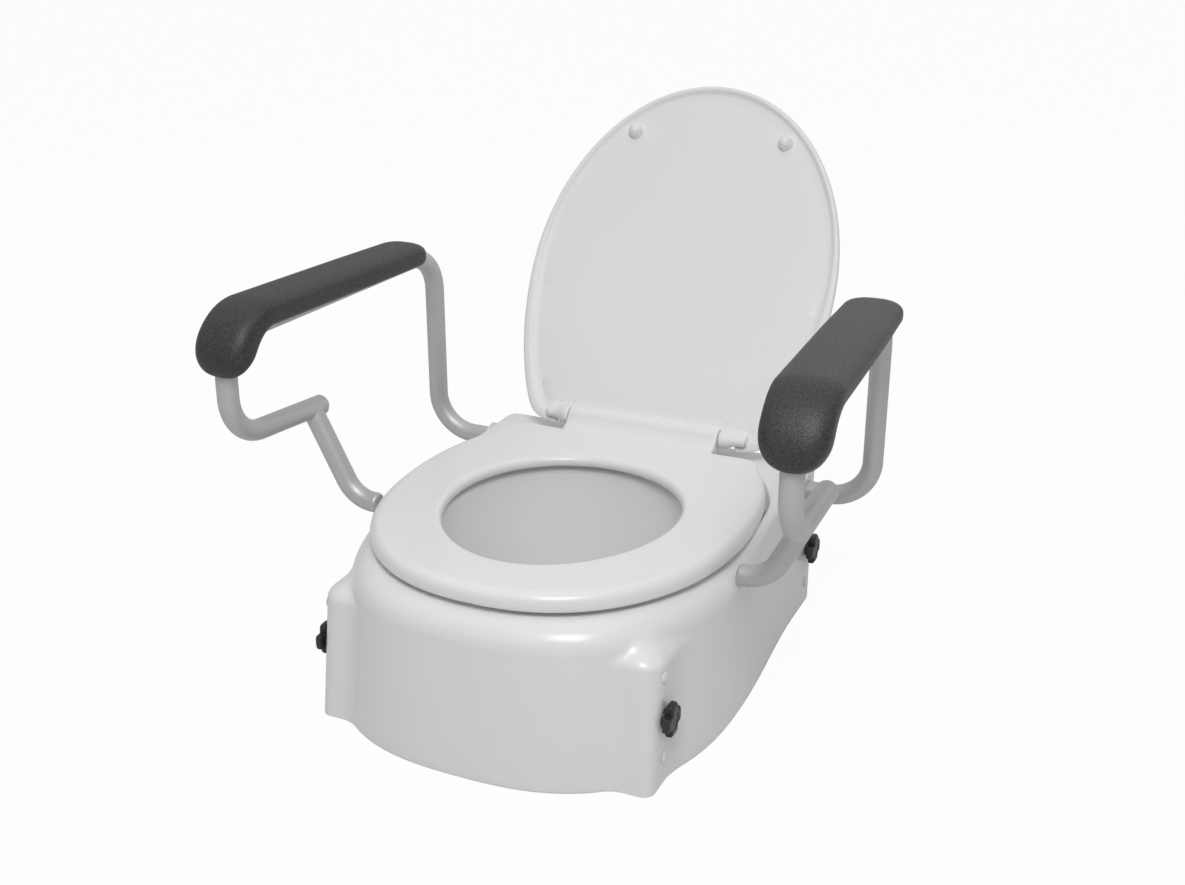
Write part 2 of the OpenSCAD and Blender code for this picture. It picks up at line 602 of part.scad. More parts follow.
plug_shank = 12;
cap_t = 3;
module tube_cap(s) color("silver") place() side(s) arm_plane() short_frame()
  translate([-short_tube_l, -bend_r, 0]) rotate([0, 90, 0]) {
    cylinder(r = tube_r - tube_wall - fixed_gap, h = plug_shank);
    translate([0, 0, -cap_t]) cylinder(r1 = tube_r - 2, r2 = tube_r, h = cap_t);
  }
module strut_plug(s) color("dimgray") place() side(s)
  let (x = strut_end_x + strut_plug_t) {
    rod_x(tube_r - tube_wall - 0.1, x, x + 2, -strut_y, cradle_z);
    rod_x(tube_r, strut_end_x, x, -strut_y, cradle_z);
  }
pivot_bolt_r = 3;
pivot_washer_t = 2;
pivot_plug_l = 24;
module pivot_plug(s) color("dimgray") place() side(s)
  ring_x(tube_r - tube_wall - fixed_gap, pivot_bolt_r + fixed_gap, tube_end_x, tube_end_x + pivot_plug_l,
    pivot_y, pivot_z);
module pivot_washer(s) color("silver") place() side(s)
  ring_x(bush_r - 0.7, pivot_bolt_r + near_gap, tube_end_x - pivot_washer_t, tube_end_x,
    pivot_y, pivot_z);
module pivot_bolt(s) color("silver") place() side(s) let (x = tube_end_x - pivot_washer_t) {
  rod_x(pivot_bolt_r, x, tube_end_x + pivot_plug_l - 4, pivot_y, pivot_z);
  rod_x(2 * pivot_bolt_r, x - 4, x, pivot_y, pivot_z, $fn = 6);
}

// Foam pad: a rounded section carried along the top tube and down round its front bend
pad_sides = 24;
pad_power = 2.6;
pad_turn = 64;
pad_end_r = 16;
pad_rear_r = 16;
// The section's middle lies over the tube, more so toward the front, and comes back to it in the bend
pad_rear_rise = 10;
pad_front_rise = 15;
pad_end_rise = 8;
// Each station, for t from 0 at the rear to 1 at the bend and 2 at its end, is
// forward, up, turn, width and thickness
function pad_station(t) = t < 1
  ? [mix(pad_start + pad_rear_r, front_bend_q, t), top_tube_z + mix(pad_rear_rise, pad_front_rise, t), 0,
    mix(pad_w - 3, pad_w, ease(t, 0, 0.4)), mix(pad_rear_t, pad_t, t)]
  : let (a = pad_turn * (t - 1), r = bend_r + mix(pad_front_rise, pad_end_rise, ease(t, 1, 2)))
    [front_bend_q + r * sin(a), top_bend_z + r * cos(a), a,
    mix(pad_w, pad_front_w, ease(t, 1, 1.9)), mix(pad_t, pad_front_t, ease(t, 1, 1.7))];
pad_steps = [0, 0.25, 0.5, 0.75, 0.92, 1, 1.12, 1.25, 1.38, 1.5, 1.62, 1.75, 1.88, 2];
// Rounded ends: the section shrinks along a quarter circle before the first and past the last station
pad_round = [20, 45, 70];
pad_rows = concat(
  [for (a = pad_round) [pad_station(0), -pad_rear_r * cos(a), pad_rear_r * (1 - sin(a))]],
  [for (t = pad_steps) [pad_station(t), 0, 0]],
  [for (a = pad_round) [pad_station(2), pad_end_r * sin(a), pad_end_r * (1 - cos(a))]]);
function pad_ring(row) = let (s = row[0], q = s[0] + row[1] * cos(s[2]), z = s[1] - row[1] * sin(s[2]),
  k = row[2]) [for (i = [0:pad_sides - 1]) let (a = 360 * i / pad_sides,
  u = (s[3] / 2 - k) * spow(cos(a), 2 / pad_power),
  v = (s[4] / 2 - k / 2) * spow(sin(a), 2 / pad_power))
  [q + v * sin(s[2]), z + v * cos(s[2]), u]];
pad_rings = [for (row = pad_rows) pad_ring(row)];
pad_last = pad_station(2);
pad_first = pad_station(0);
pad_tips = [[pad_first[0] - pad_rear_r, pad_first[1], 0],
  [pad_last[0] + pad_end_r * cos(pad_last[2]), pad_last[1] - pad_end_r * sin(pad_last[2]), 0]];
pad_count = len(pad_rings) * pad_sides;
module arm_pad(s) color("dimgray") place() side(s) arm_plane() difference() {
  polyhedron(concat(flat(pad_rings), pad_tips), convexity = 6,
    faces = concat(grid_faces(len(pad_rings), pad_sides, false), fan_start(pad_sides, pad_count),
      fan_end(pad_sides, pad_count - pad_sides, pad_count + 1)));
  top_run(tube_r + fixed_gap, 0);
  translate([bend_r, top_bend_z]) tube_bend(bend_r, 90, 90, tube_r + fixed_gap, 0);
  upright(arm_length, low_bend_z, top_bend_z, tube_r + fixed_gap, 0);
}

// Clamps: from the knob outside, through the wall, to the bracket that hooks over the bowl's rim

stud_r = stud_d / 2;
knob_gap = 0.3;
lobes = 4;
module at_clamp(e, s) place() side(s)
  translate([clamp_face(e) - spot_depth, clamp_y(e), clamp_z]) rotate([0, 90, 0]) children();
// Outline of the knob: lobes with hollows between them
function knob_outline() = [for (a = [0:6:359])
  let (r = knob_d / 2 * (0.86 + 0.14 * spow(cos(lobes * a), 0.6))) r * [cos(a), sin(a)]];
module knob(e, s) color("black") at_clamp(e, s) translate([0, 0, knob_gap]) difference() {
  union() {
    cylinder(d = knob_d * 0.55, h = knob_t * 0.3);
    translate([0, 0, knob_t * 0.3]) linear_extrude(knob_t * 0.7) polygon(knob_outline());
  }
  translate([0, 0, -1]) cylinder(r = stud_r + fixed_gap, h = knob_t * 0.7 + 1);
}
stud_inside = 42;
ring_t = 1.5;
// The ring runs just inside the wall, so the stud can turn but not slide
ring_place = wall - spot_depth + near_gap + ring_t;
module stud(e, s) color("silver") at_clamp(e, s) translate([0, 0, -stud_inside])
  cylinder(r = stud_r, h = stud_inside + knob_gap + knob_t * 0.7 - 0.5);
module retaining_ring(e, s) color("silver") at_clamp(e, s) translate([0, 0, -ring_place]) difference() {
  cylinder(r = stud_r + 4, h = ring_t);
  translate([0, 0, -1]) cylinder(r = stud_r + fixed_gap, h = ring_t + 2);
}
// Places along the clamp's axis, measured inward from the wall's face
plate_in = 20;
plate_t = 6;
jaw_in = 50;
jaw_t = 5;
shelf_in = 84;
shelf_over = 16;
shelf_t = 6;
plate_foot = 16;
bracket_outline = [[-plate_in, -plate_foot], [-plate_in, shelf_over + shelf_t],
  [-shelf_in, shelf_over + shelf_t], [-shelf_in, shelf_over], [-jaw_in - jaw_t, shelf_over],
  [-jaw_in - jaw_t, -plate_foot], [-jaw_in, -plate_foot], [-jaw_in, shelf_over],
  [-plate_in - plate_t, shelf_over], [-plate_in - plate_t, -plate_foot]];
// Section drawn along the clamp's axis and up, extruded across the bracket's width
module clamp_section(e, s, w, outline) place() side(s)
  translate([clamp_face(e) - spot_depth, clamp_y(e) + w / 2, clamp_z]) rotate([90, 0, 0])
    linear_extrude(w) polygon(outline);
module bracket(e, s) color("gainsboro") difference() {
  clamp_section(e, s, bracket_w, bracket_outline);
  at_clamp(e, s) translate([0, 0, -plate_in - plate_t - 1])
    cylinder(r = stud_r + near_gap, h = plate_t + 2);
}
nut_t = 6.5;
nut_across = 13;
module bracket_nut(e, s) color("silver") at_clamp(e, s)
  translate([0, 0, -plate_in - plate_t - nut_t]) difference() {
    cylinder(d = nut_across / cos(30), h = nut_t, $fn = 6);
    translate([0, 0, -1]) cylinder(r = stud_r + run_gap, h = nut_t + 2);
  }
grip_outline = let (j = -jaw_in - jaw_t, g = grip_t)
  [[j, -plate_foot], [j, shelf_over], [-shelf_in, shelf_over],
  [-shelf_in, shelf_over - g], [j - g, shelf_over - g], [j - g, -plate_foot]];
module grip_pad(e, s) color("dimgray") clamp_section(e, s, bracket_w - 2, grip_outline);

raiser_body();
hole_plugs();
seat_ring();
seat_buffers();
lid();
lid_buffers();
for (s = ["left", "right"]) {
  hinge_post(s);
  hinge_pin(s);
  hinge_bolt(s);
  arm_bush(s);
  arm_tube(s);
  arm_strut(s);
  arm_pad(s);
  tube_cap(s);
  strut_plug(s);
  pivot_plug(s);
  pivot_washer(s);
  pivot_bolt(s);
  for (e = ["front", "rear"]) {
    knob(e, s);
    stud(e, s);
    retaining_ring(e, s);
    bracket(e, s);
    bracket_nut(e, s);
    grip_pad(e, s);
  }
}
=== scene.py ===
# %% [markdown]
# # Raised toilet seat
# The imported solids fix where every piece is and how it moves. This lesson dresses them: the moulded shell,
# the seat, the lid and its buffers, the arm tubes, the pads and the knobs are made again as fine surfaces
# from the same sizes, and every other solid keeps its mesh and gets a finish.

# %% Load the solids
import json
import math

import bpy
import numpy as np
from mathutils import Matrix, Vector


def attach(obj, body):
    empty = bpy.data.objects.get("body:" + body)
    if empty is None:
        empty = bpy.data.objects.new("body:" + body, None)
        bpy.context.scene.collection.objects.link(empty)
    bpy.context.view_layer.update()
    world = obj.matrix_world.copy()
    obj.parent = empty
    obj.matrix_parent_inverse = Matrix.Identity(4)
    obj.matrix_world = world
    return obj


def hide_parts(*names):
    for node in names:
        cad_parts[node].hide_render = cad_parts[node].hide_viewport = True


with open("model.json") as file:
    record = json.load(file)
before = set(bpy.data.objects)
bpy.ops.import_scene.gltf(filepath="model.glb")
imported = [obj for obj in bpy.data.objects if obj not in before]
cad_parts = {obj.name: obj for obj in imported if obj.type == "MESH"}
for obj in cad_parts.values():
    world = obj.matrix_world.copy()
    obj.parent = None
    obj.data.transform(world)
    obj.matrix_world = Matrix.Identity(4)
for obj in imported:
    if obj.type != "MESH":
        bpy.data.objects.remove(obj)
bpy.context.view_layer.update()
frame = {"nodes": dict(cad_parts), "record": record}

# %% [markdown]
# ## Shader maths as expressions
# A finish is a small graph of nodes. Wiring each one by hand hides the formula, so a Wire stands for an
# output socket and adds a Math node whenever it meets an operator. Any other node comes from Graph.node,
# which sets the node's options first and then fills its sockets. A Finish is the graph of one material.

# %% Wire
class Wire:
    """An output socket. Arithmetic with another wire or a number adds a Math node and gives its output."""

    def __init__(self, graph, socket):
        self.graph, self.socket = graph, socket

    def maths(self, operation, a, b):
        return self.graph.node("ShaderNodeMath", {"operation": operation}, {0: a, 1: b})

    def __add__(self, other):
        return self.maths("ADD", self, other)

    def __sub__(self, other):
        return self.maths("SUBTRACT", self, other)

    def __rsub__(self, other):
        return self.maths("SUBTRACT", other, self)

    def __mul__(self, other):
        return self.maths("MULTIPLY", self, other)

    __radd__, __rmul__ = __add__, __mul__


# %% Graph
glossy_share = 0.33


class Graph:
    """The node tree of a material or a world."""

    def __init__(self, owner):
        owner.use_nodes = True
        self.tree = owner.node_tree

    def feed(self, node, inputs):
        """Link each wire to its socket of the node, and put each plain value straight onto its socket."""
        for key, value in inputs.items():
            if isinstance(value, Wire):
                self.tree.links.new(value.socket, node.inputs[key])
            else:
                node.inputs[key].default_value = value

    def node(self, kind, options=None, inputs=None, output=0):
        """A new node: its options are set first, then its inputs. Gives one of its outputs as a wire."""
        made = self.tree.nodes.new(kind)
        for key, value in (options or {}).items():
            setattr(made, key, value)
        self.feed(made, inputs or {})
        return Wire(self, made.outputs[output])

    def viewed(self):
        """1 for the camera's own rays and what it sees through glass, 0 for light on its way to a surface. A
        gloss shows glossy_share of the white background, since the photograph's far sides stay dark."""
        camera, glossy, through = [self.node("ShaderNodeLightPath", output=f"Is {kind} Ray")
                                   for kind in ("Camera", "Glossy", "Transmission")]
        return self.node("ShaderNodeMath", {"operation": "ADD", "use_clamp": True},
                         {0: camera, 1: glossy * glossy_share + through})


# %% Finish
class Finish(Graph):
    """A material around one Principled shader; uniform values go straight onto the shader's sockets."""

    def __init__(self, name, **uniform):
        self.material = bpy.data.materials.new(name)
        super().__init__(self.material)
        self.shader = self.tree.nodes["Principled BSDF"]
        self.show(**uniform)

    def place(self):
        """Object coordinates, in metres, the same on the CAD solids and on the new pieces."""
        return self.node("ShaderNodeTexCoord", output="Object")

    def noise(self, scale, detail=2.0, stretch=None):
        """Noise from 0 to 1 with about `scale` blobs a metre; stretch makes them longer along an axis."""
        at = self.place()
        if stretch:
            at = self.node("ShaderNodeMapping", None, {"Vector": at, "Scale": stretch})
        return self.node("ShaderNodeTexNoise", None, {"Vector": at, "Scale": scale, "Detail": detail})

    def blend(self, share, dark, light):
        """A colour that goes from dark to light as share goes from 0 to 1."""
        return self.node("ShaderNodeMix", {"data_type": "RGBA"}, {0: share, 6: (*dark, 1), 7: (*light, 1)}, 2)

    def bump(self, height, depth, strength):
        """Normals tilted as if the surface rose by height times depth, in metres."""
        return self.node("ShaderNodeBump", None, {"Height": height, "Distance": depth, "Strength": strength})

    def show(self, **inputs):
        """Feed the shader's sockets, with _ for each space in their names. Gives the material."""
        self.feed(self.shader, {key.replace("_", " "): value for key, value in inputs.items()})
        return self.material


# %% [markdown]
# ## White mouldings
# The body, seat and lid are glossy moulded plastic. Such a moulding isn't quite even: its tone and its gloss
# drift from place to place, so a broad noise moves the colour and the roughness a little. The body and the
# seat are the shiniest, and the lid's face, which nobody polishes, the dullest.

# %% Four whites
tone_drift, gloss_drift = 0.01, 0.06


def grey(level):
    """A colour with the same level of red, green and blue."""
    return (level,) * 3


def moulded_white(name, tone, gloss):
    """Near-white plastic: tone is its grey level, gloss its middle roughness, and a noise moves both."""
    finish = Finish(name, IOR=1.5)
    drift = finish.noise(scale=7, detail=1)
    colour = finish.blend(drift, grey(tone * (1 - tone_drift)), grey(tone * (1 + tone_drift)))
    return finish.show(Base_Color=colour, Roughness=drift * gloss_drift + (gloss - gloss_drift / 2))


body_white = moulded_white("body white", tone=0.89, gloss=0.235)
seat_white = moulded_white("seat white", tone=0.90, gloss=0.235)
lid_white = moulded_white("lid white", tone=0.88, gloss=0.50)
trim_white = moulded_white("trim white", tone=0.88, gloss=0.34)
print("whites:", [m.name for m in (body_white, seat_white, lid_white, trim_white)])

# %% [markdown]
# ## Silver tubes, foam and black knobs
# The tubes have a satin silver coat: half metallic and blurred, with a fine sparkle and a broad cloud. The
# arm pads are foam with its own skin, which is dark, dull and finely pebbled. The knobs are black plastic
# with a spark-eroded texture that only breaks up the highlight.

# %% Silver, foam and black
def satin_silver():
    """A fine sparkle and a broad cloud, weighted, move tone and roughness. The sparkle is also a bump."""
    finish = Finish("satin silver", IOR=1.45, Metallic=0.5)
    sparkle, cloud = finish.noise(scale=2600, detail=1), finish.noise(scale=26, detail=2)
    colour = finish.blend(sparkle * 0.6 + cloud * 0.4, grey(0.48), grey(0.66))
    return finish.show(Base_Color=colour, Roughness=cloud * 0.06 + sparkle * 0.08 + 0.40,
                       Normal=finish.bump(sparkle, depth=0.00008, strength=0.5))


def skinned_foam():
    """Dark foam: the height is a fine grain less a cell pattern of the same size, which leaves pebbles. The
    tone follows the grain, paler where the grain stands higher, and a broad patch."""
    finish = Finish("skinned foam", IOR=1.5)
    pebble_scale = 620.0
    pebble = finish.node("ShaderNodeTexVoronoi", {"feature": "F1"},
                         {"Vector": finish.place(), "Scale": pebble_scale})
    grain, patch = finish.noise(pebble_scale, detail=2), finish.noise(scale=14, detail=3)
    height = pebble * -0.7 + grain * 0.6
    colour = finish.blend(grain * 2.2 + patch * 0.3 - 0.75, grey(0.010), (0.064, 0.064, 0.065))
    return finish.show(Base_Color=colour, Roughness=patch * 0.1 + pebble * 0.12 + 0.36,
                       Normal=finish.bump(height, depth=0.0004, strength=0.6))


def knob_black():
    """Tone is half fine erosion and half coarser wear. The erosion is a bump; the wear moves the gloss."""
    finish = Finish("knob black", IOR=1.48)
    eroded, wear = finish.noise(scale=1400, detail=2), finish.noise(scale=60, detail=2)
    colour = finish.blend(eroded * 0.5 + wear * 0.5, grey(0.010), (0.032, 0.032, 0.033))
    return finish.show(Base_Color=colour, Roughness=wear * 0.12 + 0.36,
                       Normal=finish.bump(eroded, depth=0.00015, strength=0.5))


silver, foam, black = satin_silver(), skinned_foam(), knob_black()
print("arms and knobs:", [m.name for m in (silver, foam, black)])

# %% [markdown]
# ## Steel and rubber
# Pins, bolts, studs, nuts and washers are plated steel, drawn or turned, so a noise that is stretched along X
# leaves streaks. The seat's buffers and the grip pads are grey rubber, dull, with a little dust.

# %% Steel and rubber
def plated_steel():
    """Tone is half a streak and half a cloud. The streak also moves the roughness and is a bump."""
    finish = Finish("plated steel", Metallic=1.0)
    streak = finish.noise(scale=900, detail=2, stretch=(0.06, 1, 1))
    cloud = finish.noise(scale=80, detail=2)
    colour = finish.blend(streak * 0.5 + cloud * 0.5, (0.50, 0.50, 0.49), (0.70, 0.70, 0.71))
    return finish.show(Base_Color=colour, Roughness=streak * 0.14 + 0.29,
                       Normal=finish.bump(streak, depth=0.00005, strength=0.4))


def grey_rubber():
    """Tone is dust and grain, weighted. The dust moves the roughness; the grain is a bump."""
    finish = Finish("grey rubber", IOR=1.4)
    dust, grain = finish.noise(scale=40, detail=3), finish.noise(scale=1100, detail=2)
    colour = finish.blend(dust * 0.6 + grain * 0.4, grey(0.13), grey(0.24))
    return finish.show(Base_Color=colour, Roughness=dust * 0.15 + 0.68,
                       Normal=finish.bump(grain, depth=0.0002, strength=0.5))


steel, rubber = plated_steel(), grey_rubber()
print("hardware:", [m.name for m in (steel, rubber)])

# %% [markdown]
# ## From formulas to meshes
# Every new surface here is a grid of points: rows along one parameter, columns along the other. A grid is
# worked out as one array in millimetres, measured from the centre of the seat's opening at floor level,
# which is how the part's own sizes are written. The origin of the frame lies ORIGIN_Y behind that point.

# %% Small formulas
def ease(v, a, b):
    """Smooth step: 0 at a, 1 at b, t*t*(3 - 2t) between them."""
    t = np.clip((np.asarray(v, float) - a) / (b - a), 0, 1)
    return t * t * (3 - 2 * t)


def mix(a, b, t):
    """From a to b as t goes from 0 to 1: a + (b - a)*t."""
    return a + (b - a) * t


def unit(v):
    """Vectors of length 1: v divided by its own length."""
    return v / np.linalg.norm(v, axis=-1, keepdims=True)


def spow(v, p):
    """Signed power, for squarish rounds: the sign of v times |v|^p."""
    return np.sign(v) * np.abs(v) ** p


# %% Grids
def at_height(p, z):
    """Points (x, y) with a height: one value for all, or an array that fits their rows and columns."""
    return np.concatenate([p, np.broadcast_to(z, p.shape[:-1])[..., None]], -1)


def sheet(grid, ring=False):
    """Points and faces of grid[row, column]. Columns always close on themselves. ring also joins the last row
    to the first; otherwise each end is closed with one flat face. All faces are turned round where the volume
    they enclose, the sum of a . (b x c) over their triangles, comes out negative."""
    grid = np.asarray(grid, float)
    rows, cols = grid.shape[:2]
    points = grid.reshape(-1, 3)
    j = np.arange(rows if ring else rows - 1)[:, None]
    i = np.arange(cols)[None, :]
    a, b = j * cols + i, j * cols + (i + 1) % cols
    c, d = (j + 1) % rows * cols + (i + 1) % cols, (j + 1) % rows * cols + i
    faces = [np.stack([a, b, c, d], -1).reshape(-1, 4)]
    if not ring:
        faces += [i[:, ::-1], i + (rows - 1) * cols]
    volume = sum(np.einsum("ij,ij->", points[f[:, 0]], np.cross(points[f[:, m]], points[f[:, m + 1]]))
                 for f in faces for m in range(1, f.shape[1] - 1))
    return points, [f if volume > 0 else f[:, ::-1] for f in faces]


def mirrored(shape):
    """The left-hand copy of a right-hand shape, with its faces turned so that they still point out."""
    points, faces = shape
    return points * [-1, 1, 1], [f[:, ::-1] for f in faces]


both_sides = (("left", mirrored), ("right", lambda shape: shape))

# %% Pieces
ORIGIN_Y = 107.897
weld_digits = 5


def welded(faces):
    """Faces whose points may have fallen together: a quad with one short side becomes a triangle, and one
    with two goes."""
    short = faces == np.roll(faces, -1, 1)
    kept = faces[short.sum(1) == 0].tolist()
    for side in np.flatnonzero(short.any(0)):
        kept += np.delete(faces[short[:, side] & (short.sum(1) == 1)], side, 1).tolist()
    return kept


def piece(name, shapes, finish, body, stands_for, crease=38):
    """One object from several shapes, in metres in the frame, riding on a body. Points that agree to
    weld_digits of a millimetre are joined, and edges that turn by more than crease degrees stay sharp."""
    offsets = np.cumsum([0] + [len(points) for points, _ in shapes])
    every_point = np.round(np.vstack([points for points, _ in shapes]), weld_digits)
    points, place = np.unique(every_point, axis=0, return_inverse=True)
    points, place = points - [0, ORIGIN_Y, 0], place.reshape(-1)
    faces = [row for (_, groups), start in zip(shapes, offsets)
             for f in groups for row in welded(place[f + start])]
    mesh = bpy.data.meshes.new(name)
    mesh.from_pydata((points / 1000).tolist(), [], faces)
    mesh.polygons.foreach_set("use_smooth", np.ones(len(faces), bool))
    mesh.set_sharp_from_angle(angle=math.radians(crease))
    mesh.materials.append(finish)
    made = bpy.data.objects.new(name, mesh)
    bpy.context.scene.collection.objects.link(made)
    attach(made, body)
    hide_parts(*stands_for)
    print(f"{name}: {len(points)} points, {len(faces)} faces")
    return made


# %% [markdown]
# ## The moulded body: its outline
# Seen from above, the body is a squarish ellipse in front, with nearly straight sides and a square back.
# Rows of the shell follow this outline. Its points lie closest together round the ears, which stand out at
# the front corners. The deck rises to a shelf at the rear, where the shoulder is also tighter.

# %% Outline of the body
body_half_w, body_front, front_power = 196, 219, 2.6
rear_half_w, body_rear, rear_corner = 187, 258, 14
side_flat_y, side_end_y = 195, 192
ear_from, ear_to = 30, 62
front = np.radians(np.concatenate([np.linspace(0, ear_from, 30, False),
                                   np.linspace(ear_from, ear_to, 84, False),
                                   np.linspace(ear_to, 90, 24, False)]))
radius = ((np.sin(front) / body_half_w) ** front_power
          + (np.cos(front) / body_front) ** front_power) ** (-1 / front_power)
side_y = np.linspace(0, side_end_y, 26)
turn = np.radians(np.linspace(0, 90, 14))
rear_x = np.linspace(0.92, 0, 14) * (rear_half_w - rear_corner)
half = np.vstack([radius[:, None] * np.stack([np.sin(front), -np.cos(front)], -1),
                  np.stack([mix(body_half_w, rear_half_w, ease(side_y, 0, side_flat_y)), side_y], -1),
                  np.stack([rear_half_w - rear_corner * (1 - np.cos(turn)),
                            body_rear - rear_corner * (1 - np.sin(turn))], -1),
                  np.stack([rear_x, np.full(len(rear_x), body_rear)], -1)])
plan = np.vstack([half, half[-2:0:-1] * [-1, 1]])
plan_normal = unit(np.roll(plan, -1, 0) - np.roll(plan, 1, 0))[:, ::-1] * [1, -1]
plan_angle = np.degrees(np.abs(np.arctan2(plan[:, 0], -plan[:, 1])))
print("outline points:", len(plan))

# %% Heights and draft along the outline
deck_z, shelf_rise, shoulder_r, shelf_edge_r, front_draft = 156, 6, 28, 8, 0.1
shelf_from, shelf_to, draft_from, draft_to = 85, 118, 50, 95
rearward = ease(plan_angle, shelf_from, shelf_to)
shelf_z = deck_z + shelf_rise * rearward
edge_r = mix(shoulder_r, shelf_edge_r, rearward)
draft = front_draft * (1 - ease(plan_angle, draft_from, draft_to))
print("shelf heights:", shelf_z.min(), "to", shelf_z.max())

# %% [markdown]
# ## The moulded body: its ears
# The clamps pass through two ears. An ear is a box with rounded upright corners, whose top rounds over and
# slopes back into the shoulder. The real corners between ear and wall are moulded with a fillet, so the two
# outlines are compared as distances from the middle, direction by direction, and joined by a smooth maximum
# and not by cutting one solid from another.

# %% Ears
ear_x, ear_front, ear_dome_z, ear_foot_r, ear_top_r = 173, 180, 118, 11, 21
ear_round, ear_slope, ear_rear_y, fillet = 10, 1.6, -20, 9.0
tiny = 1e-3


def ear_radius(a, z):
    """Distance to a box with rounded corners in direction a: its flat side, flat front, or corner's arc."""
    u = np.stack([np.abs(np.sin(a)), np.abs(np.cos(a))], -1)
    h = np.minimum(z, ear_dome_z)
    r = mix(ear_foot_r, ear_top_r, h / ear_dome_z)
    c = np.stack([ear_x - r, ear_front - front_draft * h - r], -1)
    at_side = ear_x / np.maximum(u[..., 0], tiny)
    at_front = (c[..., 1] + r) / np.maximum(u[..., 1], tiny)
    along = (u * c).sum(-1)
    corner = along + np.sqrt(np.maximum(along ** 2 - (c * c).sum(-1) + r * r, 0))
    past_side = np.where(at_front * u[..., 0] <= c[..., 0], at_front, corner)
    return np.where(at_side * u[..., 1] <= c[..., 1], at_side, past_side)


def ear_drop(z):
    """How far the ear's top has fallen back at height z: a parabola over ear_round, then a straight slope."""
    h = np.maximum(0, z - ear_dome_z)
    return np.where(h < ear_round, h * h * ear_slope / (2 * ear_round), ear_slope * (h - ear_round / 2))


def with_ear(p, z, inset):
    """p pushed out to the ear. Where the two are within `fillet` of each other they join on a parabola."""
    r = np.linalg.norm(p, axis=-1)
    e = ear_radius(np.arctan2(p[..., 0], -p[..., 1]), z) - inset - ear_drop(z)
    joined = np.maximum(r, e) + np.maximum(fillet - np.abs(r - e), 0) ** 2 / (4 * fillet)
    return np.where((p[..., 1] > ear_rear_y)[..., None], p, p * (joined / r)[..., None])


# %% [markdown]
# ## The moulded body: its wall and shoulder
# The wall leans in a little toward the front and turns over a shoulder, wide in front and tight at the rear.
# On each side the shoulder swells a little where the arm's strut comes to rest on it. Wall, shoulder and
# foot are rings of the same outline at different heights, so they join without a seam.

# %% Rings
strut_y, swell_h, swell_run, swell_mid, swell_spread = 22, 5.9, 17, 33, 26


def body_rings(inset, z, skin=0.0):
    """Rings at height z, moved in from the outline by inset, the wall's draft and the skin's depth."""
    z = np.broadcast_to(z, np.broadcast_shapes(np.shape(inset), np.shape(z), plan_angle.shape)).astype(float)
    move = inset + draft * np.minimum(z, shelf_z - edge_r) + skin
    return at_height(with_ear(plan - plan_normal * move[..., None], z, skin), z)


def foot_rings(rows, skin=0.0):
    """Rings at the body's foot, from how far each lies inside the wall's face and how high it is."""
    return [body_rings(np.full((1, 1), inset), z, skin)[0] for inset, z in rows]


def shoulder(angles, skin=0.0, swelling=0.0):
    """Rings round the shoulder's arc: at angle a, r*cos(a) out from its centre line and r*sin(a) up.
    swelling adds to the arc's radius, and is 0 for a plain shoulder."""
    a = np.radians(angles)[:, None]
    r = edge_r - skin
    return body_rings(r - (r + swelling) * np.cos(a), shelf_z - edge_r + (r + swelling) * np.sin(a), skin)


def swell(a):
    """A swelling that carries the strut, swell_mid degrees up the arc:
    swell_h * exp(-((y + strut_y)/swell_run)^2 - ((a - swell_mid)/swell_spread)^2), with a in degrees."""
    up = (np.degrees(a) - swell_mid) / swell_spread
    return swell_h * np.exp(-((plan[:, 1] + strut_y) / swell_run) ** 2 - up ** 2)


# %% Wall, shoulder and foot
rise = np.concatenate([np.linspace(0.02, 0.8, 12), np.linspace(0.82, 1, 14)])[:, None]
wall_z = rise * (shelf_z - edge_r)
outer_wall = body_rings(-swell((wall_z - shelf_z + edge_r) / edge_r), wall_z)
over = np.linspace(4, 90, 20)
outer_shoulder = shoulder(over, swelling=swell(np.radians(over)[:, None]))
foot = foot_rings(((1.6, 0.0), (0.7, 0.25), (0.2, 0.9)))
print("wall rings:", len(outer_wall) + len(foot), "shoulder rings:", len(outer_shoulder))

# %% [markdown]
# ## The moulded body: deck, opening and splash skirt
# Inside the shoulder the deck dips under the seat, and at the rear a raised shelf carries the hinge. Round
# the opening it rises again to a lip, which rolls down into a skirt that keeps splashes inside the bowl. The
# same rings, stepped in by the wall's thickness, close the shell underneath. The dip follows the seat's
# outline and the lip that of its opening, and both are eggs.

# %% Eggs
seat_half_w, seat_half_l, seat_centre_y = 185, 222, 33
seat_pear_front, seat_pear_rear, pear_from, pear_to, seat_full = -0.05, 0.02, 60, 120, 0.9
opening_half_w, opening_half_l, opening_pear = 116, 127, 0.07


def egg(half_w, half_l, centre_y, pear, full, a):
    """Point at angle a from the front: half_w*sin(a)^full*(1 - pear*cos a) out, half_l*cos a along."""
    x = half_w * spow(np.sin(a), full) * (1 - pear * np.cos(a))
    return np.stack([x, centre_y - half_l * np.cos(a)], -1)


def seat_point(a, grow=0.0):
    """The seat's outline, `grow` outside it: an egg whose pear shape changes from front to rear."""
    turned = ease(np.degrees(np.arccos(np.cos(a))), pear_from, pear_to)
    pear = mix(seat_pear_front, seat_pear_rear, turned)
    return egg(seat_half_w + grow, seat_half_l + grow, seat_centre_y, pear, seat_full, a)


def opening_point(a, grow=0.0):
    """The opening's outline, `grow` outside it: an egg that is wider behind."""
    return egg(opening_half_w + grow, opening_half_l + grow, 0, opening_pear, 1, a)


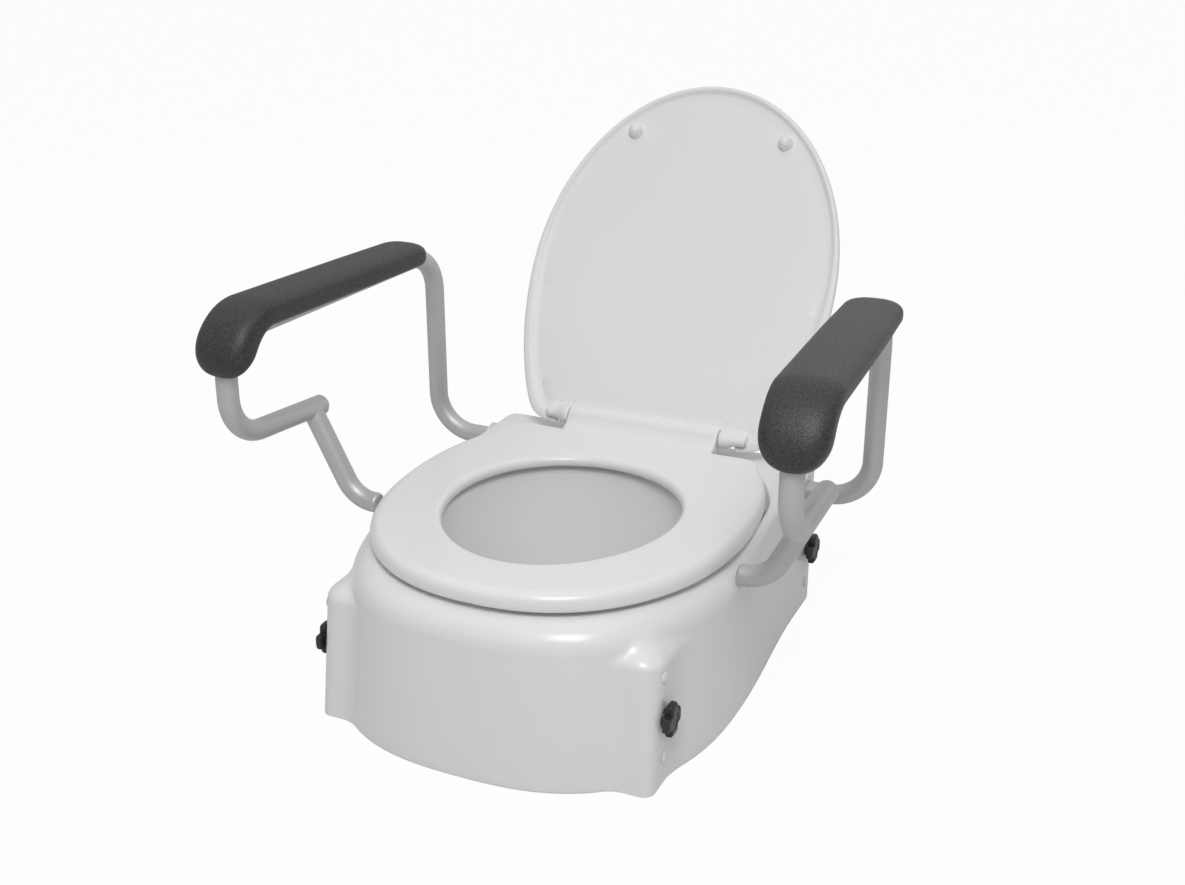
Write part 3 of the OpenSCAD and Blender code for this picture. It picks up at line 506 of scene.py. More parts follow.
# %% Rings of the deck and the opening
wall, ledge = 4, 1
recess_grow, recess_run, recess_rear_y = 6, 5, body_rear - 26
skirt_back, back_from, back_to = 7, 70, 150
seat_angle = np.arctan2(plan[:, 0], seat_centre_y - plan[:, 1])
opening_angle = np.arctan2(plan[:, 0], -plan[:, 1])


def recess(grow, share, drop=0.0):
    """Ring `grow` outside the seat's edge, share of the way down from the shelf to the deck, and drop lower.
    It stays a ledge inside the shoulder, and ends at recess_rear_y."""
    p = seat_point(seat_angle, grow)
    q = np.stack([p[:, 0], np.minimum(p[:, 1], recess_rear_y + grow - recess_grow)], -1)
    centre = np.array([0, seat_centre_y])
    inner_edge = body_rings(edge_r, shelf_z)[..., :2].reshape(-1, 2)
    r = np.minimum(np.linalg.norm(q - centre, axis=-1),
                   np.linalg.norm(inner_edge - centre, axis=-1) - ledge - recess_grow + grow)
    return at_height(centre + unit(q - centre) * r[:, None], mix(shelf_z, deck_z, share) - drop)


def hole(grow, z):
    """Ring `grow` outside the seat's opening, and a little more at the rear, where the seat overhangs."""
    back = skirt_back * ease(np.degrees(np.abs(opening_angle)), back_from, back_to)
    return at_height(opening_point(opening_angle, grow + back), z)


# %% Deck, lip, skirt and shell
skirt_gap, lip_r, skirt_taper, skirt_foot_z = 2, 8, 16, 28
rim_rise, rim_run = 6.5, 10
lip_z = deck_z + rim_rise
step = np.linspace(0, 1, 9)
edge = [recess(recess_grow - recess_run * t, ease(t, 0, 1)) for t in step]
upstand = [hole(skirt_gap + lip_r + rim_run * (1 - t), mix(deck_z, lip_z, ease(t, 0, 1))) for t in step[:-1]]
lip = [hole(skirt_gap + lip_r * (1 - math.sin(a)), lip_z - lip_r * (1 - math.cos(a)))
       for a in np.radians(np.linspace(0, 90, 10))]
skirt = [hole(skirt_gap - skirt_taper * t, mix(lip_z - lip_r, skirt_foot_z, t))
         for t in np.linspace(0.04, 0.99, 18)]
skirt_foot = [hole(skirt_gap - skirt_taper + d, skirt_foot_z + h)
              for d, h in ((0.3, 0.4), (1.2, 0), (wall - 1, 0), (wall, 1))]
under = [hole(skirt_gap + wall, deck_z - lip_r - wall), hole(skirt_gap + lip_r, deck_z - wall),
         recess(recess_grow - recess_run, 1.0, wall), recess(recess_grow, 0.0, wall)]
inside = [*shoulder(np.linspace(90, 10, 8), wall), *body_rings(0.0, rise[::-3] * (shelf_z - edge_r), wall)]
inside_foot = foot_rings(((-0.4, 0.9), (-1.2, 0.0)), wall)
shell = sheet(np.stack([*foot, *outer_wall, *outer_shoulder, *edge, *upstand, *lip, *skirt, *skirt_foot,
                        *under, *inside, *inside_foot]), ring=True)
print("shell points:", len(shell[0]))

# %% [markdown]
# ## The moulded body: pivot bosses
# Each arm turns in a boss inside the wall: a profile carried along the X axis, with rows along X and columns
# round the profile. The seat's tongue is made in the same way further on, so the helpers take any profile.

# %% Sections along X
def shrunk(profile, d):
    """A closed profile of (y, z) points, moved in by d all round."""
    along = unit(np.roll(profile, -1, 0) - np.roll(profile, 1, 0))
    turning = np.sum(profile[:, 0] * np.roll(profile[:, 1], -1) - profile[:, 1] * np.roll(profile[:, 0], -1))
    return profile - np.stack([along[:, 1], -along[:, 0]], -1) * np.sign(turning) * d


def rounded_end(profile, x, r, outward):
    """Sections (x, profile) up to an end that rounds in along a quarter circle: at angle a the section lies
    r*(1 - cos a) from the end and is r*(1 - sin a) smaller all round."""
    return [(x - outward * r * (1 - math.cos(a)), shrunk(profile, r * (1 - math.sin(a))))
            for a in np.radians([90, 60, 30, 0])]


def skin(sections):
    """A closed skin through sections (x, profile) with as many points each."""
    return sheet(np.stack([np.column_stack([np.full(len(p), x), p]) for x, p in sections]))


# %% Bosses and the body piece
pivot_y, pivot_z, boss_r, boss_x, boss_sink, boss_edge_r = 213, 145, 15.5, 153, 2, 1.0
ring_turn = np.radians(np.linspace(0, 360, 48, False))
circle = np.stack([np.cos(ring_turn), np.sin(ring_turn)], -1)
boss_round = circle * boss_r + [pivot_y, pivot_z]
boss = skin([(rear_half_w - boss_sink, boss_round), *rounded_end(boss_round, boss_x, boss_edge_r, -1)])
piece("raiser_shell", [shell, boss, mirrored(boss)], body_white, "base", ["raiser_body"],
      crease=42)

# %% [markdown]
# ## The seat
# The seat is a thick ring: an egg outside, a smaller egg inside, and a rounded section between them, which
# thins toward the opening. Each column of the grid runs across the ring at one angle. Behind, the egg is cut
# straight where the lid's hinge lugs come down, and its edge gets tighter there, as a cut edge does.

# %% Seat outline
seat_top_z, seat_t, notch_y, notch_power = 179, 18, 192, 60.0
seat_bottom_z = seat_top_z - seat_t
around = np.radians(np.linspace(0, 360, 320, False))


def soft_min(a, b, power):
    """The smaller of two distances, with the corner between them rounded off:
    (a^-power + b^-power)^(-1/power)."""
    return (a ** -power + b ** -power) ** (-1 / power)


def seat_outline(a):
    """The egg, cut off at notch_y. Both are compared as distances from the egg's middle."""
    p = seat_point(a) - [0, seat_centre_y]
    r = np.linalg.norm(p, axis=-1)
    cut = (notch_y - seat_centre_y) / np.maximum(p[:, 1] / r, tiny)
    return p / r[:, None] * soft_min(r, cut, notch_power)[:, None] + [0, seat_centre_y]


outer, inner = seat_outline(around), opening_point(around)
across = unit(inner - outer)
width = np.linalg.norm(inner - outer, axis=-1)
print("seat ring width:", width.min().round(1), "to", width.max().round(1), "mm")

# %% Seat ring
round_front, round_cut, cut_from, cut_to = 11.0, 3.0, 165, 190
round_foot, inner_top, inner_foot, inner_t, thin_run = 4.0, 7.0, 4.5, 12, 30
round_top = mix(round_front, round_cut, ease(outer[:, 1], cut_from, cut_to))
quarter = np.radians(np.linspace(0, 90, 9))[:, None]
less_sin, less_cos = 1 - np.sin(quarter), 1 - np.cos(quarter)
flat_share = np.linspace(0.1, 0.9, 6)[:, None]
even = 0 * width[None]
from_outer = np.concatenate([
    round_foot * less_sin + even,
    round_top * less_cos[1:],
    round_top + (width - inner_top - round_top) * flat_share,
    width - inner_top * less_sin,
    width - inner_foot * less_cos[1:],
    width - thin_run + even])
height = np.concatenate([
    seat_bottom_z + round_foot * less_cos + even,
    seat_top_z - round_top * less_sin[1:],
    seat_top_z + 0 * flat_share + even,
    seat_top_z - inner_top * less_cos + even,
    seat_top_z - inner_t + inner_foot * less_sin[1:] + even,
    seat_bottom_z + even])
seat_ring = sheet(at_height(outer + across * from_outer[..., None], height), ring=True)
print("seat ring points:", len(seat_ring[0]))

# %% [markdown]
# ## The seat's tongue
# Behind the opening the seat sweeps up into the hinge barrel. Its section is an arc that leaves the seat's
# top level, meets the barrel where the two circles touch, and goes round behind. It is carried along X, and
# steps to a hollowed section and back where the fixed posts hold the pin.

# %% Tongue sections
hinge_y, hinge_z, barrel_r, ramp_r = 216, 186, 11, 21
post_x, slot_half_w, slot_y, slot_z = 64, 9, 207.5, hinge_z + 3.5
root_run, root_sink, tongue_chamfer = 4, 0.05, 1.5
tongue_foot_z = seat_bottom_z + 0.3
ramp_y = hinge_y - math.sqrt((barrel_r + ramp_r) ** 2 - (seat_top_z + ramp_r - hinge_z) ** 2)
touch = math.atan2(seat_top_z + ramp_r - hinge_z, ramp_y - hinge_y)


def arc(centre, r, a0, a1, n):
    """n points on a circle, centre + r*(cos a, sin a), for a from a0 to a1."""
    a = np.linspace(a0, a1, n)
    return np.array(centre) + r * np.stack([np.cos(a), np.sin(a)], -1)


ramp = arc((ramp_y, seat_top_z + ramp_r), ramp_r, touch - math.pi, -math.pi / 2, 20)[1:]
root = np.array([[ramp_y - root_run, seat_top_z - root_sink], [ramp_y - root_run, tongue_foot_z]])
slot_a = math.asin((slot_z - hinge_z) / barrel_r)
crest = arc((hinge_y, hinge_z), barrel_r, slot_a, touch, 30)
whole = np.vstack([[[hinge_y - tongue_chamfer, tongue_foot_z], [hinge_y, tongue_foot_z + tongue_chamfer]],
                   arc((hinge_y, hinge_z), barrel_r, -math.pi / 2, slot_a, 16)[:-1], crest, ramp, root])
low = len(whole) - len(crest) - len(ramp) - len(root)
head_z = whole[low - 1, 1]
slotted = whole.copy()
slotted[:low, 0] = slot_y
slotted[:low, 1] = (tongue_foot_z + (whole[:low, 1] - tongue_foot_z)
                    * (slot_z - tongue_foot_z) / (head_z - tongue_foot_z))
print("tongue section points:", len(whole))

# %% Tongue and the seat piece
tongue_half_w, tongue_edge_r = 88, 1.6
inner_x, outer_x = post_x - slot_half_w, post_x + slot_half_w
one_side = [(inner_x, whole), (inner_x, slotted), (outer_x, slotted), (outer_x, whole),
            *rounded_end(whole, tongue_half_w, tongue_edge_r, 1)]
tongue = skin([(-x, p) for x, p in one_side[::-1]] + one_side)
piece("seat_moulding", [seat_ring, tongue], seat_white, "seat", ["seat_ring"], crease=32)

# %% [markdown]
# ## The lid
# The lid is a thin dished plate with a lip round its edge. It is drawn closed, over the seat, and then
# turned open about the hinge line, because closed is the pose in which its sizes make sense. Its outline is
# an ellipse in front, a longer one behind, and a straight cut at the hinge with a gap for the seat's tongue.

# %% Lid outline
lid_half_w, lid_reach, lid_mid, lid_tail, lid_foot = 180, 402, 170, 275, -10
gap_from, gap_to, barrel_lap, tail_power = 29.6, 31, 0.6, 24.0
lid_a = np.radians(np.linspace(0, 360, 360, False))
from_tail = np.degrees(np.abs(np.pi - lid_a))
fore, aside = np.cos(lid_a), np.sin(lid_a)
front_r = 1 / np.hypot(aside / lid_half_w, fore / (lid_reach - lid_mid))
rear_r = 1 / np.hypot(aside / lid_half_w, fore / lid_tail)
cut_at = mix(lid_mid - barrel_r + barrel_lap, lid_mid - lid_foot, ease(from_tail, gap_from, gap_to))
lid_r = np.where(fore >= 0, front_r, soft_min(rear_r, cut_at / np.maximum(-fore, tiny), tail_power))
print("lid outline points:", len(lid_r))

# %% Smooth lines
def curve(points, per=5):
    """A smooth line through points: on each span, the cubic that leaves along the chord of its neighbours."""
    p = np.asarray(points, float)
    before, after = np.vstack([2 * p[0] - p[1], p[:-1]]), np.vstack([p[1:], 2 * p[-1] - p[-2]])
    lead = (after - before) / 2
    t = np.linspace(0, 1, per, False)[None, :, None]
    a, b, m, n = p[:-1, None], p[1:, None], lead[:-1, None], lead[1:, None]
    line = (a * (2 * t**3 - 3 * t**2 + 1) + b * (3 * t**2 - 2 * t**3)
            + m * (t**3 - 2 * t**2 + t) + n * (t**3 - t**2))
    return np.vstack([line.reshape(-1, p.shape[1]), p[-1:]])


# %% Lid plate
lid_t, lid_open, lid_rise, lid_crown, lip_extra, lip_below = 4, 122, 5.3, 5, 0.9, 0.6
dish_side, dish_front, dish_rear = 8, 10, 20
plain_bend, plain_low, plain_to, lip_from = 0.62, 0.1, 30, 44
wide_none, wide_full, tail_none, tail_full = 120, 60, 20, 40
lid_z = hinge_z + lid_rise
lip_wide = 1 + lip_extra * ease(from_tail, wide_none, wide_full) * ease(from_tail, tail_none, tail_full)
rim = curve([[11, 0.35], [8.2, -0.6], [5.2, -3.5], [3.4, -4], [1.2, -3.5], [0, -1], [0.6, 2.0], [3.4, 3.8],
             [8, 4.3]])
shares = np.array([0.004, 0.03, 0.08, 0.15, 0.25, 0.35, 0.45, 0.55, 0.65, 0.75, 0.84, 0.9])[:, None]
dish_l = np.where(fore > 0, lid_reach - lid_mid - dish_front, lid_mid - dish_rear)
dish_x, dish_y = shares * lid_r * aside / (lid_half_w - dish_side), shares * lid_r * fore / dish_l
dish = lid_crown * np.maximum(1 - dish_x ** 2 - dish_y ** 2, 0) ** 2
plain = np.interp(np.arange(len(rim)), [0, plain_bend * len(rim), len(rim)],
                  [rim[0, 1], plain_low, rim[-1, 1]])[:, None]
rim_z = mix(plain, rim[:, 1:], ease(from_tail, plain_to, lip_from))
rim_r = lid_r - rim[:, :1] * np.where(rim[:, 1:] < lip_below, lip_wide, 1)
lid_rr = np.concatenate([shares * lid_r, rim_r, shares[::-1] * lid_r])
lid_zz = lid_z + np.concatenate([dish, rim_z, dish[::-1] + lid_t])
lid_plate = sheet(np.stack([lid_rr * aside, hinge_y - lid_mid - lid_rr * fore, lid_zz], -1))


def opened(shape):
    """Turn a shape about the hinge line by lid_open degrees, front edge up."""
    points, faces = shape
    a = math.radians(lid_open)
    y, z = points[:, 1] - hinge_y, points[:, 2] - hinge_z
    return np.stack([points[:, 0], hinge_y + y * math.cos(a) + z * math.sin(a),
                     hinge_z - y * math.sin(a) + z * math.cos(a)], -1), faces


print("lid plate points:", len(lid_plate[0]))

# %% [markdown]
# ## The lid's hinge lugs
# Two lugs beside the tongue hold the lid on the hinge pins. Each is a barrel that a short strip ties to the
# lid's edge, narrower away from the tongue. One skin drawn tight round both is smooth where they meet, and
# its distance in any direction has a formula.

# %% Lugs and the lid piece
lug_gap, lug_w, tie_run, tie_t = 1.5, 29, 14, 3
lug_inset, lug_taper, taper_from, taper_to = 0.6, 5.2, 0.1, 0.7
near_draw, near_run, far_draw, far_run = 1.2, 0.06, 2.5, 0.1
least_cos, far_off = 0.02, 1e6
lug_dirs = np.radians(np.arange(0, 360, 4))
strip = np.array([[-tie_run, lid_rise], [-tie_run, lid_rise + tie_t], [0, lid_rise + tie_t]])


def lug_ring(r):
    """Outline of the tightest skin round a barrel of radius r and the strip that ties it to the lid. Its
    furthest line in direction b is h(b), so along direction a it lies at the least h(b) / cos(a - b)."""
    facing = np.stack([np.cos(lug_dirs), np.sin(lug_dirs)], -1)
    h = np.maximum(r, (facing @ strip.T).max(-1))
    towards = np.cos(lug_dirs[:, None] - lug_dirs[None])
    reach = np.where(towards > least_cos, h / np.maximum(towards, least_cos), far_off)
    return facing * reach.min(-1)[:, None]


lug_x0 = tongue_half_w + lug_gap
lug_t = np.linspace(0, 1, 25)
lug_waist = barrel_r - lug_inset - lug_taper * ease(lug_t, taper_from, taper_to)
lug_draw = (near_draw * np.maximum(0, 1 - lug_t / near_run) ** 2
            + far_draw * np.maximum(0, 1 - (1 - lug_t) / far_run) ** 2)
lug_rows = np.stack([lug_ring(r) * (1 - d / r) for r, d in zip(lug_waist, lug_draw)])
lug_xx = np.broadcast_to(mix(lug_x0, lug_x0 + lug_w, lug_t)[:, None, None], (*lug_rows.shape[:2], 1))
lug = sheet(np.concatenate([lug_xx, lug_rows + [hinge_y, hinge_z]], -1))
piece("lid_moulding", [opened(lid_plate), opened(lug), opened(mirrored(lug))], lid_white, "lid",
      ["lid"], crease=40)

# %% [markdown]
# ## The lid's buffers
# Two domes under the lid's front meet the seat when it closes. Each is a turned shape, tall enough to bridge
# the space between lid and seat but for a hair's gap.

# %% Buffers
buffer_x, buffer_reach, buffer_r, buffer_root, dome_power = 90, 341, 8.4, 1.2, 2.4
rest_gap = 0.3
buffer_h = lid_z - seat_top_z - rest_gap + buffer_root


def dome(w):
    """Radius at share w of the height: r*(1 - w^p)^(1/p), where a p over 2 keeps the side steep and the top
    blunt."""
    return buffer_r * (1 - w ** dome_power) ** (1 / dome_power)


share = np.concatenate([np.linspace(0, 0.7, 8, False), 1 - 0.3 * np.linspace(1, 0.05, 10) ** 2])[:, None]
buffer_xy = circle * dome(share)[..., None] + [buffer_x, hinge_y - buffer_reach]
lid_buffer = sheet(at_height(buffer_xy, lid_z + buffer_root - buffer_h * share))
piece("lid_domes", [opened(lid_buffer), opened(mirrored(lid_buffer))], trim_white, "lid",
      ["lid_buffers"])

# %% [markdown]
# ## The arm tubes
# Each arm is one bent tube. It comes out of the pivot, turns up, forward, down and back again, and a strut
# runs from its short end down to the body's shoulder. A tube is a circle carried along a path, and the path
# is a list of corners, each rounded by an arc that touches both of its legs.

# %% Paths and tubes
def rounded_path(corners, radii, step=3.0):
    """Points along a line through corners, each replaced by an arc of its radius that touches both legs."""
    p = [np.asarray(c, float) for c in corners]
    parts = [p[0][None]]
    for before, at, after, r in zip(p, p[1:], p[2:], radii):
        u, v = unit(before - at), unit(after - at)
        half = math.acos(float(np.clip(u @ v, -1, 1))) / 2
        span = math.pi - 2 * half
        centre = at + unit(u + v) * r / math.sin(half)
        start, end = at + u * r / math.tan(half), at + v * r / math.tan(half)
        w = np.linspace(0, 1, max(6, int(span * r / step)))[:, None]
        swing = (start - centre) * np.sin((1 - w) * span) + (end - centre) * np.sin(w * span)
        parts.append(centre + swing / math.sin(span))
    return np.vstack([*parts, p[-1][None]])


def tube(path, r, sides=40):
    """A circle of radius r, one value or one a point, carried along path, square to the line that joins each
    point's neighbours."""
    r = np.broadcast_to(r, len(path))[:, None, None]
    ahead = unit(np.gradient(path, axis=0))
    ahead[0], ahead[-1] = unit(path[1] - path[0]), unit(path[-1] - path[-2])
    across = unit(np.cross(ahead, [1.0, 1.0, 1.0]))
    up = np.cross(across, ahead)
    a = np.linspace(0, 2 * math.pi, sides, False)[None, :, None]
    return sheet(path[:, None] + r * (np.cos(a) * across[:, None] + np.sin(a) * up[:, None]))


# %% Arm path
tube_r, bend_r, leg_x, top_tube_z, arm_length = 10.5, 45, 257.6, 358, 358
toe_out, short_tube_z, fall, short_tube_end = math.radians(3), 253, math.radians(4), 220
tube_end_x = boss_x - 1


def in_arm(q, z):
    """A place in the arm's upright plane: q forward of the rear leg, turned out by toe_out."""
    return [leg_x + q * math.sin(toe_out), pivot_y - q * math.cos(toe_out), z]


low_z = short_tube_z + bend_r * math.cos(fall)
corner_drop = bend_r * math.tan((math.pi / 2 - fall) / 2)
short_l = (arm_length - bend_r + bend_r * math.sin(fall) - short_tube_end) / math.cos(fall)
arm_path = rounded_path(
    [[tube_end_x, pivot_y, pivot_z], [leg_x, pivot_y, pivot_z], in_arm(0, top_tube_z),
     in_arm(arm_length, top_tube_z), in_arm(arm_length, low_z - corner_drop),
     in_arm(short_tube_end, low_z - bend_r * math.cos(fall) - short_l * math.sin(fall))], [bend_r] * 4)
print("arm path points:", len(arm_path))

# %% Strut path, and the arm pieces
cradle_z, strut_stop_x, strut_lean, strut_bend_r, strut_end_r = 155, 193.5, math.radians(27), 36, 4
q_strut = pivot_y + strut_y
top_x = leg_x + q_strut * math.tan(toe_out)
top_z = short_tube_z - (arm_length - bend_r - q_strut) * math.tan(fall)
elbow_x = top_x - (top_z - cradle_z) * math.tan(strut_lean)
end_a = np.radians(np.linspace(0, 84, 9))
strut_end = [[strut_stop_x + rest_gap + strut_end_r * (1 - math.sin(a)), -strut_y, cradle_z] for a in end_a]
strut_corners = [[top_x, -strut_y, top_z], [elbow_x, -strut_y, cradle_z], strut_end[-1]]
strut_path = np.vstack([rounded_path(strut_corners, [strut_bend_r])[:-1], strut_end])
strut_r = np.concatenate([np.full(len(strut_path) - len(end_a), tube_r),
                          tube_r - strut_end_r * (1 - np.cos(end_a))])
arm, strut = tube(arm_path, tube_r), tube(strut_path, strut_r)
for side, turned in both_sides:
    piece(f"arm_bar_{side}", [turned(arm)], silver, f"arm_{side}", [f"arm_tube_{side}"])
    piece(f"strut_bar_{side}", [turned(strut)], silver, f"arm_{side}",
          [f"arm_strut_{side}", f"strut_plug_{side}"])

# %% [markdown]
# ## The arm pads
# The pads are moulded foam, fuller at the front, where they follow the tube down round its bend and end in
# a bulb for the hand. Foam with a skin holds its own shape, so no cloth is simulated: the pad is a rounded
# section that changes width and thickness along the tube, with soft ends.

# %% Pad stations
pad_w, pad_rear_slim, bulb_w, pad_rear_t, pad_t, pad_front_t = 62, 3, 61, 26, 29, 36
pad_start, pad_turn, pad_end_r, pad_rear_r = 42, math.radians(64), 16, 16
rear_rise, front_rise, end_rise = 10, 15, 8
full_w_at, bulb_w_at, bulb_t_at = 0.4, 1.5, 1.7
bend_q, bend_z = arm_length - bend_r, top_tube_z - bend_r


def pad_station(t):
    """Forward, up, turn, width and thickness of the section at t: 0 is the rear, 1 the bend, 2 the end."""
    a = pad_turn * np.maximum(t - 1, 0)
    r = bend_r + mix(front_rise, end_rise, ease(t, 1, 2))
    q = np.where(t < 1, mix(pad_start + pad_rear_r, bend_q, t), bend_q + r * np.sin(a))
    z = np.where(t < 1, top_tube_z + mix(rear_rise, front_rise, np.minimum(t, 1)), bend_z + r * np.cos(a))
    wide = np.where(t < 1, mix(pad_w - pad_rear_slim, pad_w, ease(t, 0, full_w_at)),
                    mix(pad_w, bulb_w, ease(t, 1, bulb_w_at)))
    thick = np.where(t < 1, mix(pad_rear_t, pad_t, np.minimum(t, 1)),
                     mix(pad_t, pad_front_t, ease(t, 1, bulb_t_at)))
    return q, z, a, wide, thick


# %% Pads
rear_oval, front_oval, oval_power, oval_thin, oval_tip, pad_power = 24, 36, 2.3, 0.7, 1e-4, 2.8


def pad_shape():
    """Rows along the pad, columns round its squarish section. Near an end, w of the way out, the section is
    (1 - w^p)^(1/p) as wide, with p = oval_power, so both ends are blunt ovals: rear_oval long behind and
    front_oval in front. Rows of an oval that lie beyond the last station run straight on from it."""
    out = 1 - (1 - np.linspace(0.02, 1, 16)) ** 2
    along_tube = bend_q - pad_start - pad_rear_r
    round_bend = (bend_r + (front_rise + end_rise) / 2) * pad_turn
    from_first = rear_oval - pad_rear_r - rear_oval * out[::-1]
    from_last = pad_end_r - front_oval + front_oval * out
    t_rear, t_front = (rear_oval - pad_rear_r) / along_tube, 2 - (front_oval - pad_end_r) / round_bend
    between = np.concatenate([np.linspace(t_rear, 1, 36, False), np.linspace(1, t_front, 30)])
    t = np.concatenate([np.maximum(from_first, 0) / along_tube, between,
                        2 + np.minimum(from_last, 0) / round_bend])
    beyond = np.concatenate([np.minimum(from_first, 0), 0 * between, np.maximum(from_last, 0)])
    w = np.concatenate([out[::-1], 0 * between, out])
    q, z, a, wide, thick = pad_station(t)
    q, z = q + beyond * np.cos(a), z - beyond * np.sin(a)
    size = np.maximum(1 - w ** oval_power, oval_tip) ** (1 / oval_power)
    b = np.linspace(0, 2 * math.pi, 72, False)[None]
    u = (wide / 2 * size)[:, None] * spow(np.cos(b), 2 / pad_power)
    v = (thick / 2 * size ** oval_thin)[:, None] * spow(np.sin(b), 2 / pad_power)
    fq, fz = q[:, None] + v * np.sin(a)[:, None], z[:, None] + v * np.cos(a)[:, None]
    return sheet(np.stack([leg_x + fq * math.sin(toe_out) + u * math.cos(toe_out),
                           pivot_y - fq * math.cos(toe_out) + u * math.sin(toe_out), fz], -1))


for side, turned in both_sides:
    pad = piece(f"foam_pad_{side}", [turned(pad_shape())], foam, f"arm_{side}",
                [f"arm_pad_{side}"], crease=60)

# %% [markdown]
# ## The clamp knobs
# A knob is a turned shape with a cross for its outline: its radius is a profile along the axis times that
# outline round it. The hub under it is plain, so the cross fades in and out with height.

# %% Knobs
knob_d, bar, bar_power, clamp_z = 33, 0.42, 24, 68
front_clamp_y, rear_clamp_y = -150, 234
# Each row: height above the wall, share of the radius, share of the cross.
knob_rows = curve([[0, 0.55, 0], [3.0, 0.55, 0], [3.4, 0.86, 1], [4.2, 0.98, 1], [5.5, 1, 1], [8.2, 1, 1],
                   [9.6, 0.95, 1], [10.6, 0.84, 0.9], [11, 0.66, 0.6], [10.8, 0.5, 0.2], [10.2, 0.4, 0],
                   [10.2, 0.08, 0]], 4)


def knob_shape(face_x, y):
    """Radius = knob_d/2 * profile * outline. The outline is a cross: in each direction the longer of two
    crossed bars, whose ends are rounded off by the circle round the knob."""
    a = np.linspace(0, 2 * math.pi, 160, False)
    c, s = np.maximum(np.abs(np.cos(a)), least_cos), np.maximum(np.abs(np.sin(a)), least_cos)
    cross = np.maximum(soft_min(1 / c, bar / s, bar_power), soft_min(1 / s, bar / c, bar_power))
    outline = soft_min(cross, 1.0 + 0 * a, bar_power)
    r = knob_d / 2 * knob_rows[:, 1:2] * mix(1, outline, np.clip(knob_rows[:, 2:3], 0, 1))
    x = face_x + knob_rows[:, :1] + 0 * r
    return sheet(np.stack([x, y + r * np.sin(a), clamp_z - r * np.cos(a)], -1))


for end_name, face_x, y in (("front", ear_x, front_clamp_y), ("rear", rear_half_w, rear_clamp_y)):
    for side, turned in both_sides:
        piece(f"lobed_knob_{end_name}_{side}", [turned(knob_shape(face_x, y))], black,
              f"clamp_screw_{end_name}_{side}", [f"knob_{end_name}_{side}"], crease=30)

# %% [markdown]
# ## Finishes for the solids that stay
# The plugs, the seat's buffers, hinge posts, pins, bolts, bushes, caps and clamp brackets have the right
# shape already. Each takes the finish of its material slot in the record.

# %% Dress the remaining solids
finish_of = {"body_white": body_white, "seat_white": seat_white, "trim_white": trim_white, "steel": steel,
             "tube_silver": silver, "pad_foam": foam, "knob_black": black, "rubber_grey": rubber}
slot_of = {part["node"]: part["material_slot"] for part in frame["record"]["subparts"]}
for name, solid in frame["nodes"].items():
    solid.data.materials.clear()
    solid.data.materials.append(finish_of[slot_of[name]])
print("dressed solids:", sum(not o.hide_render for o in frame["nodes"].values()))

# %% [markdown]
# ## Floor, light and camera
# The photograph shows the seat on white, so the floor is a pale sheet under soft light: a sky that is dark
# at the horizon, and one lamp above the camera, where the glints on the seat's edges put it. The camera
# stands where the photograph's lines of perspective put it, a little above the lid and to the right.

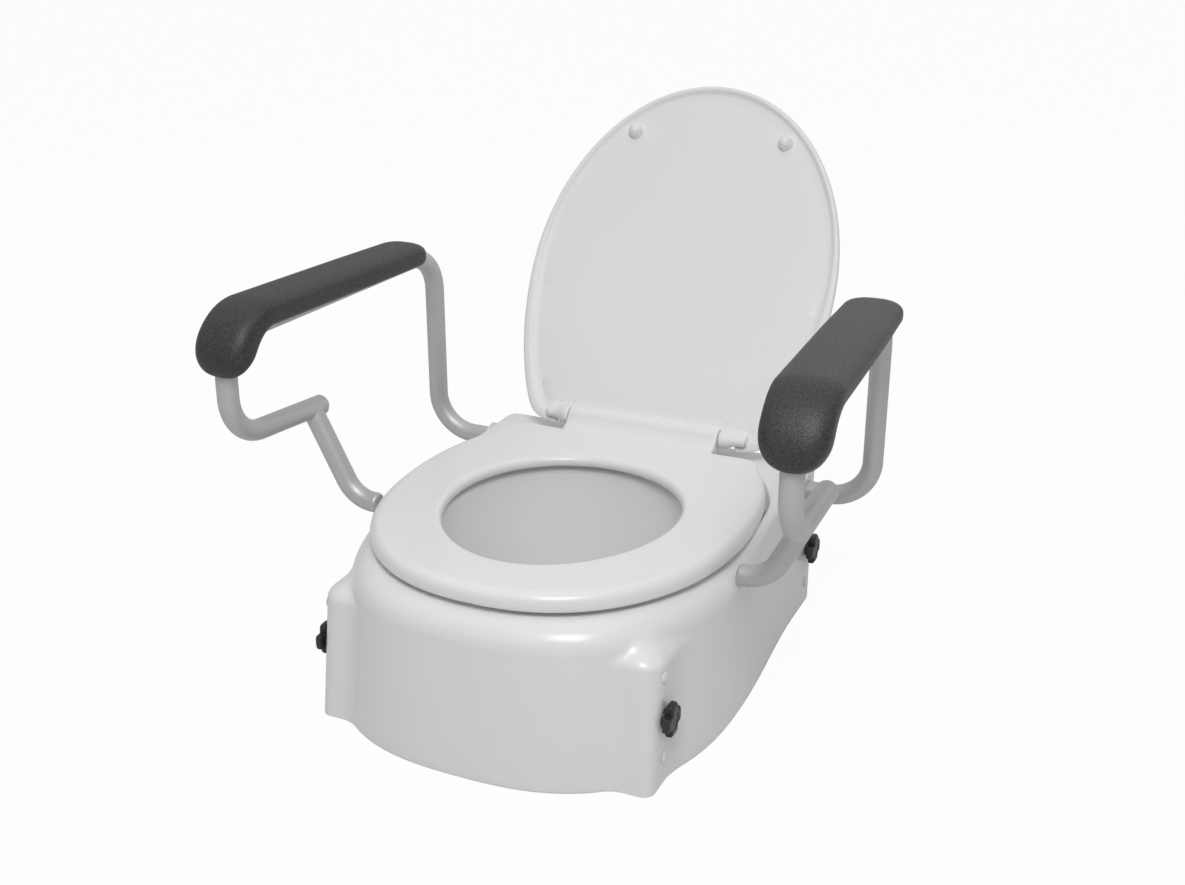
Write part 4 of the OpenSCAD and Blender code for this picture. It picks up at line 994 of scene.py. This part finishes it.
# %% Floor
floor_half, veil_share = 12, 0.95
paper = Finish("paper floor", Roughness=0.9, Specular_IOR_Level=0.1)
seen = paper.viewed()
paper.show(Base_Color=paper.blend(seen, grey(0.62), grey(0.94)))
white = paper.node("ShaderNodeEmission", None, {"Color": (1, 1, 1, 1), "Strength": 1.0})
veil = paper.node("ShaderNodeMixShader", None,
                  {0: seen * veil_share, 1: Wire(paper, paper.shader.outputs[0]), 2: white})
paper.feed(paper.tree.nodes["Material Output"], {"Surface": veil})
corners = [(x * floor_half, y * floor_half, 0) for x, y in ((-1, -1), (1, -1), (1, 1), (-1, 1))]
floor_mesh = bpy.data.meshes.new("floor")
floor_mesh.from_pydata(corners, [], [(0, 1, 2, 3)])
floor_mesh.materials.append(paper.material)
floor = bpy.data.objects.new("floor", floor_mesh)
bpy.context.scene.collection.objects.link(floor)
print("floor:", 2 * floor_half, "m square")

# %% Sky
scene = bpy.context.scene
scene.view_settings.view_transform = "Standard"
scene.world = bpy.data.worlds.new("sky")
sky = Graph(scene.world)
aim = sky.node("ShaderNodeTexCoord", output="Generated")


def glow(axis, start, low, high):
    """Brightness that eases from low to high as one axis of the view's direction goes from start to 1."""
    return sky.node("ShaderNodeMapRange", {"interpolation_type": "SMOOTHSTEP"},
                    {"Value": sky.node("ShaderNodeSeparateXYZ", None, {0: aim}, axis), "From Min": start,
                     "To Min": low, "To Max": high})


direct = sky.viewed()
around_us = glow("Z", start=0.0, low=0.05, high=0.70) + glow("Y", start=0.78, low=0.0, high=0.8)
sky.feed(sky.tree.nodes["Background"], {"Color": (1, 1, 1, 1), "Strength": around_us * (1 - direct) + direct})
print("sky nodes:", len(sky.tree.nodes))

# %% Lamp
def pointing(direction):
    """The turn that points a lamp or a camera along a direction, with its top up."""
    return Vector(direction).to_track_quat("-Z", "Y").to_euler()


lamp_at, lamp_target = Vector((0.72, -1.61, 2.28)), Vector((0, 0, 0.1))
lamp_size, lamp_power = 0.9, 28.5
softbox = bpy.data.lights.new("softbox", "AREA")
softbox.size, softbox.energy = lamp_size, lamp_power
lamp = bpy.data.objects.new("softbox", softbox)
scene.collection.objects.link(lamp)
lamp.location, lamp.rotation_euler = lamp_at, pointing(lamp_target - lamp_at)
print("lamp:", lamp_power, "W,", lamp_size, "m square")

# %% Camera
focal_pixels, photo_pixels, sensor = 1514.1, 1185, 36
camera_at = (0.5900, -1.2242 - ORIGIN_Y / 1000, 0.7918)
camera_aim = (-0.38290, 0.84529, -0.37267)
camera = bpy.data.objects.new("camera", bpy.data.cameras.new("camera"))
scene.collection.objects.link(camera)
scene.camera = camera
camera.data.sensor_width, camera.data.lens = sensor, focal_pixels / photo_pixels * sensor
camera.location, camera.rotation_euler = camera_at, pointing(camera_aim)
print("lens:", round(camera.data.lens, 1), "mm")
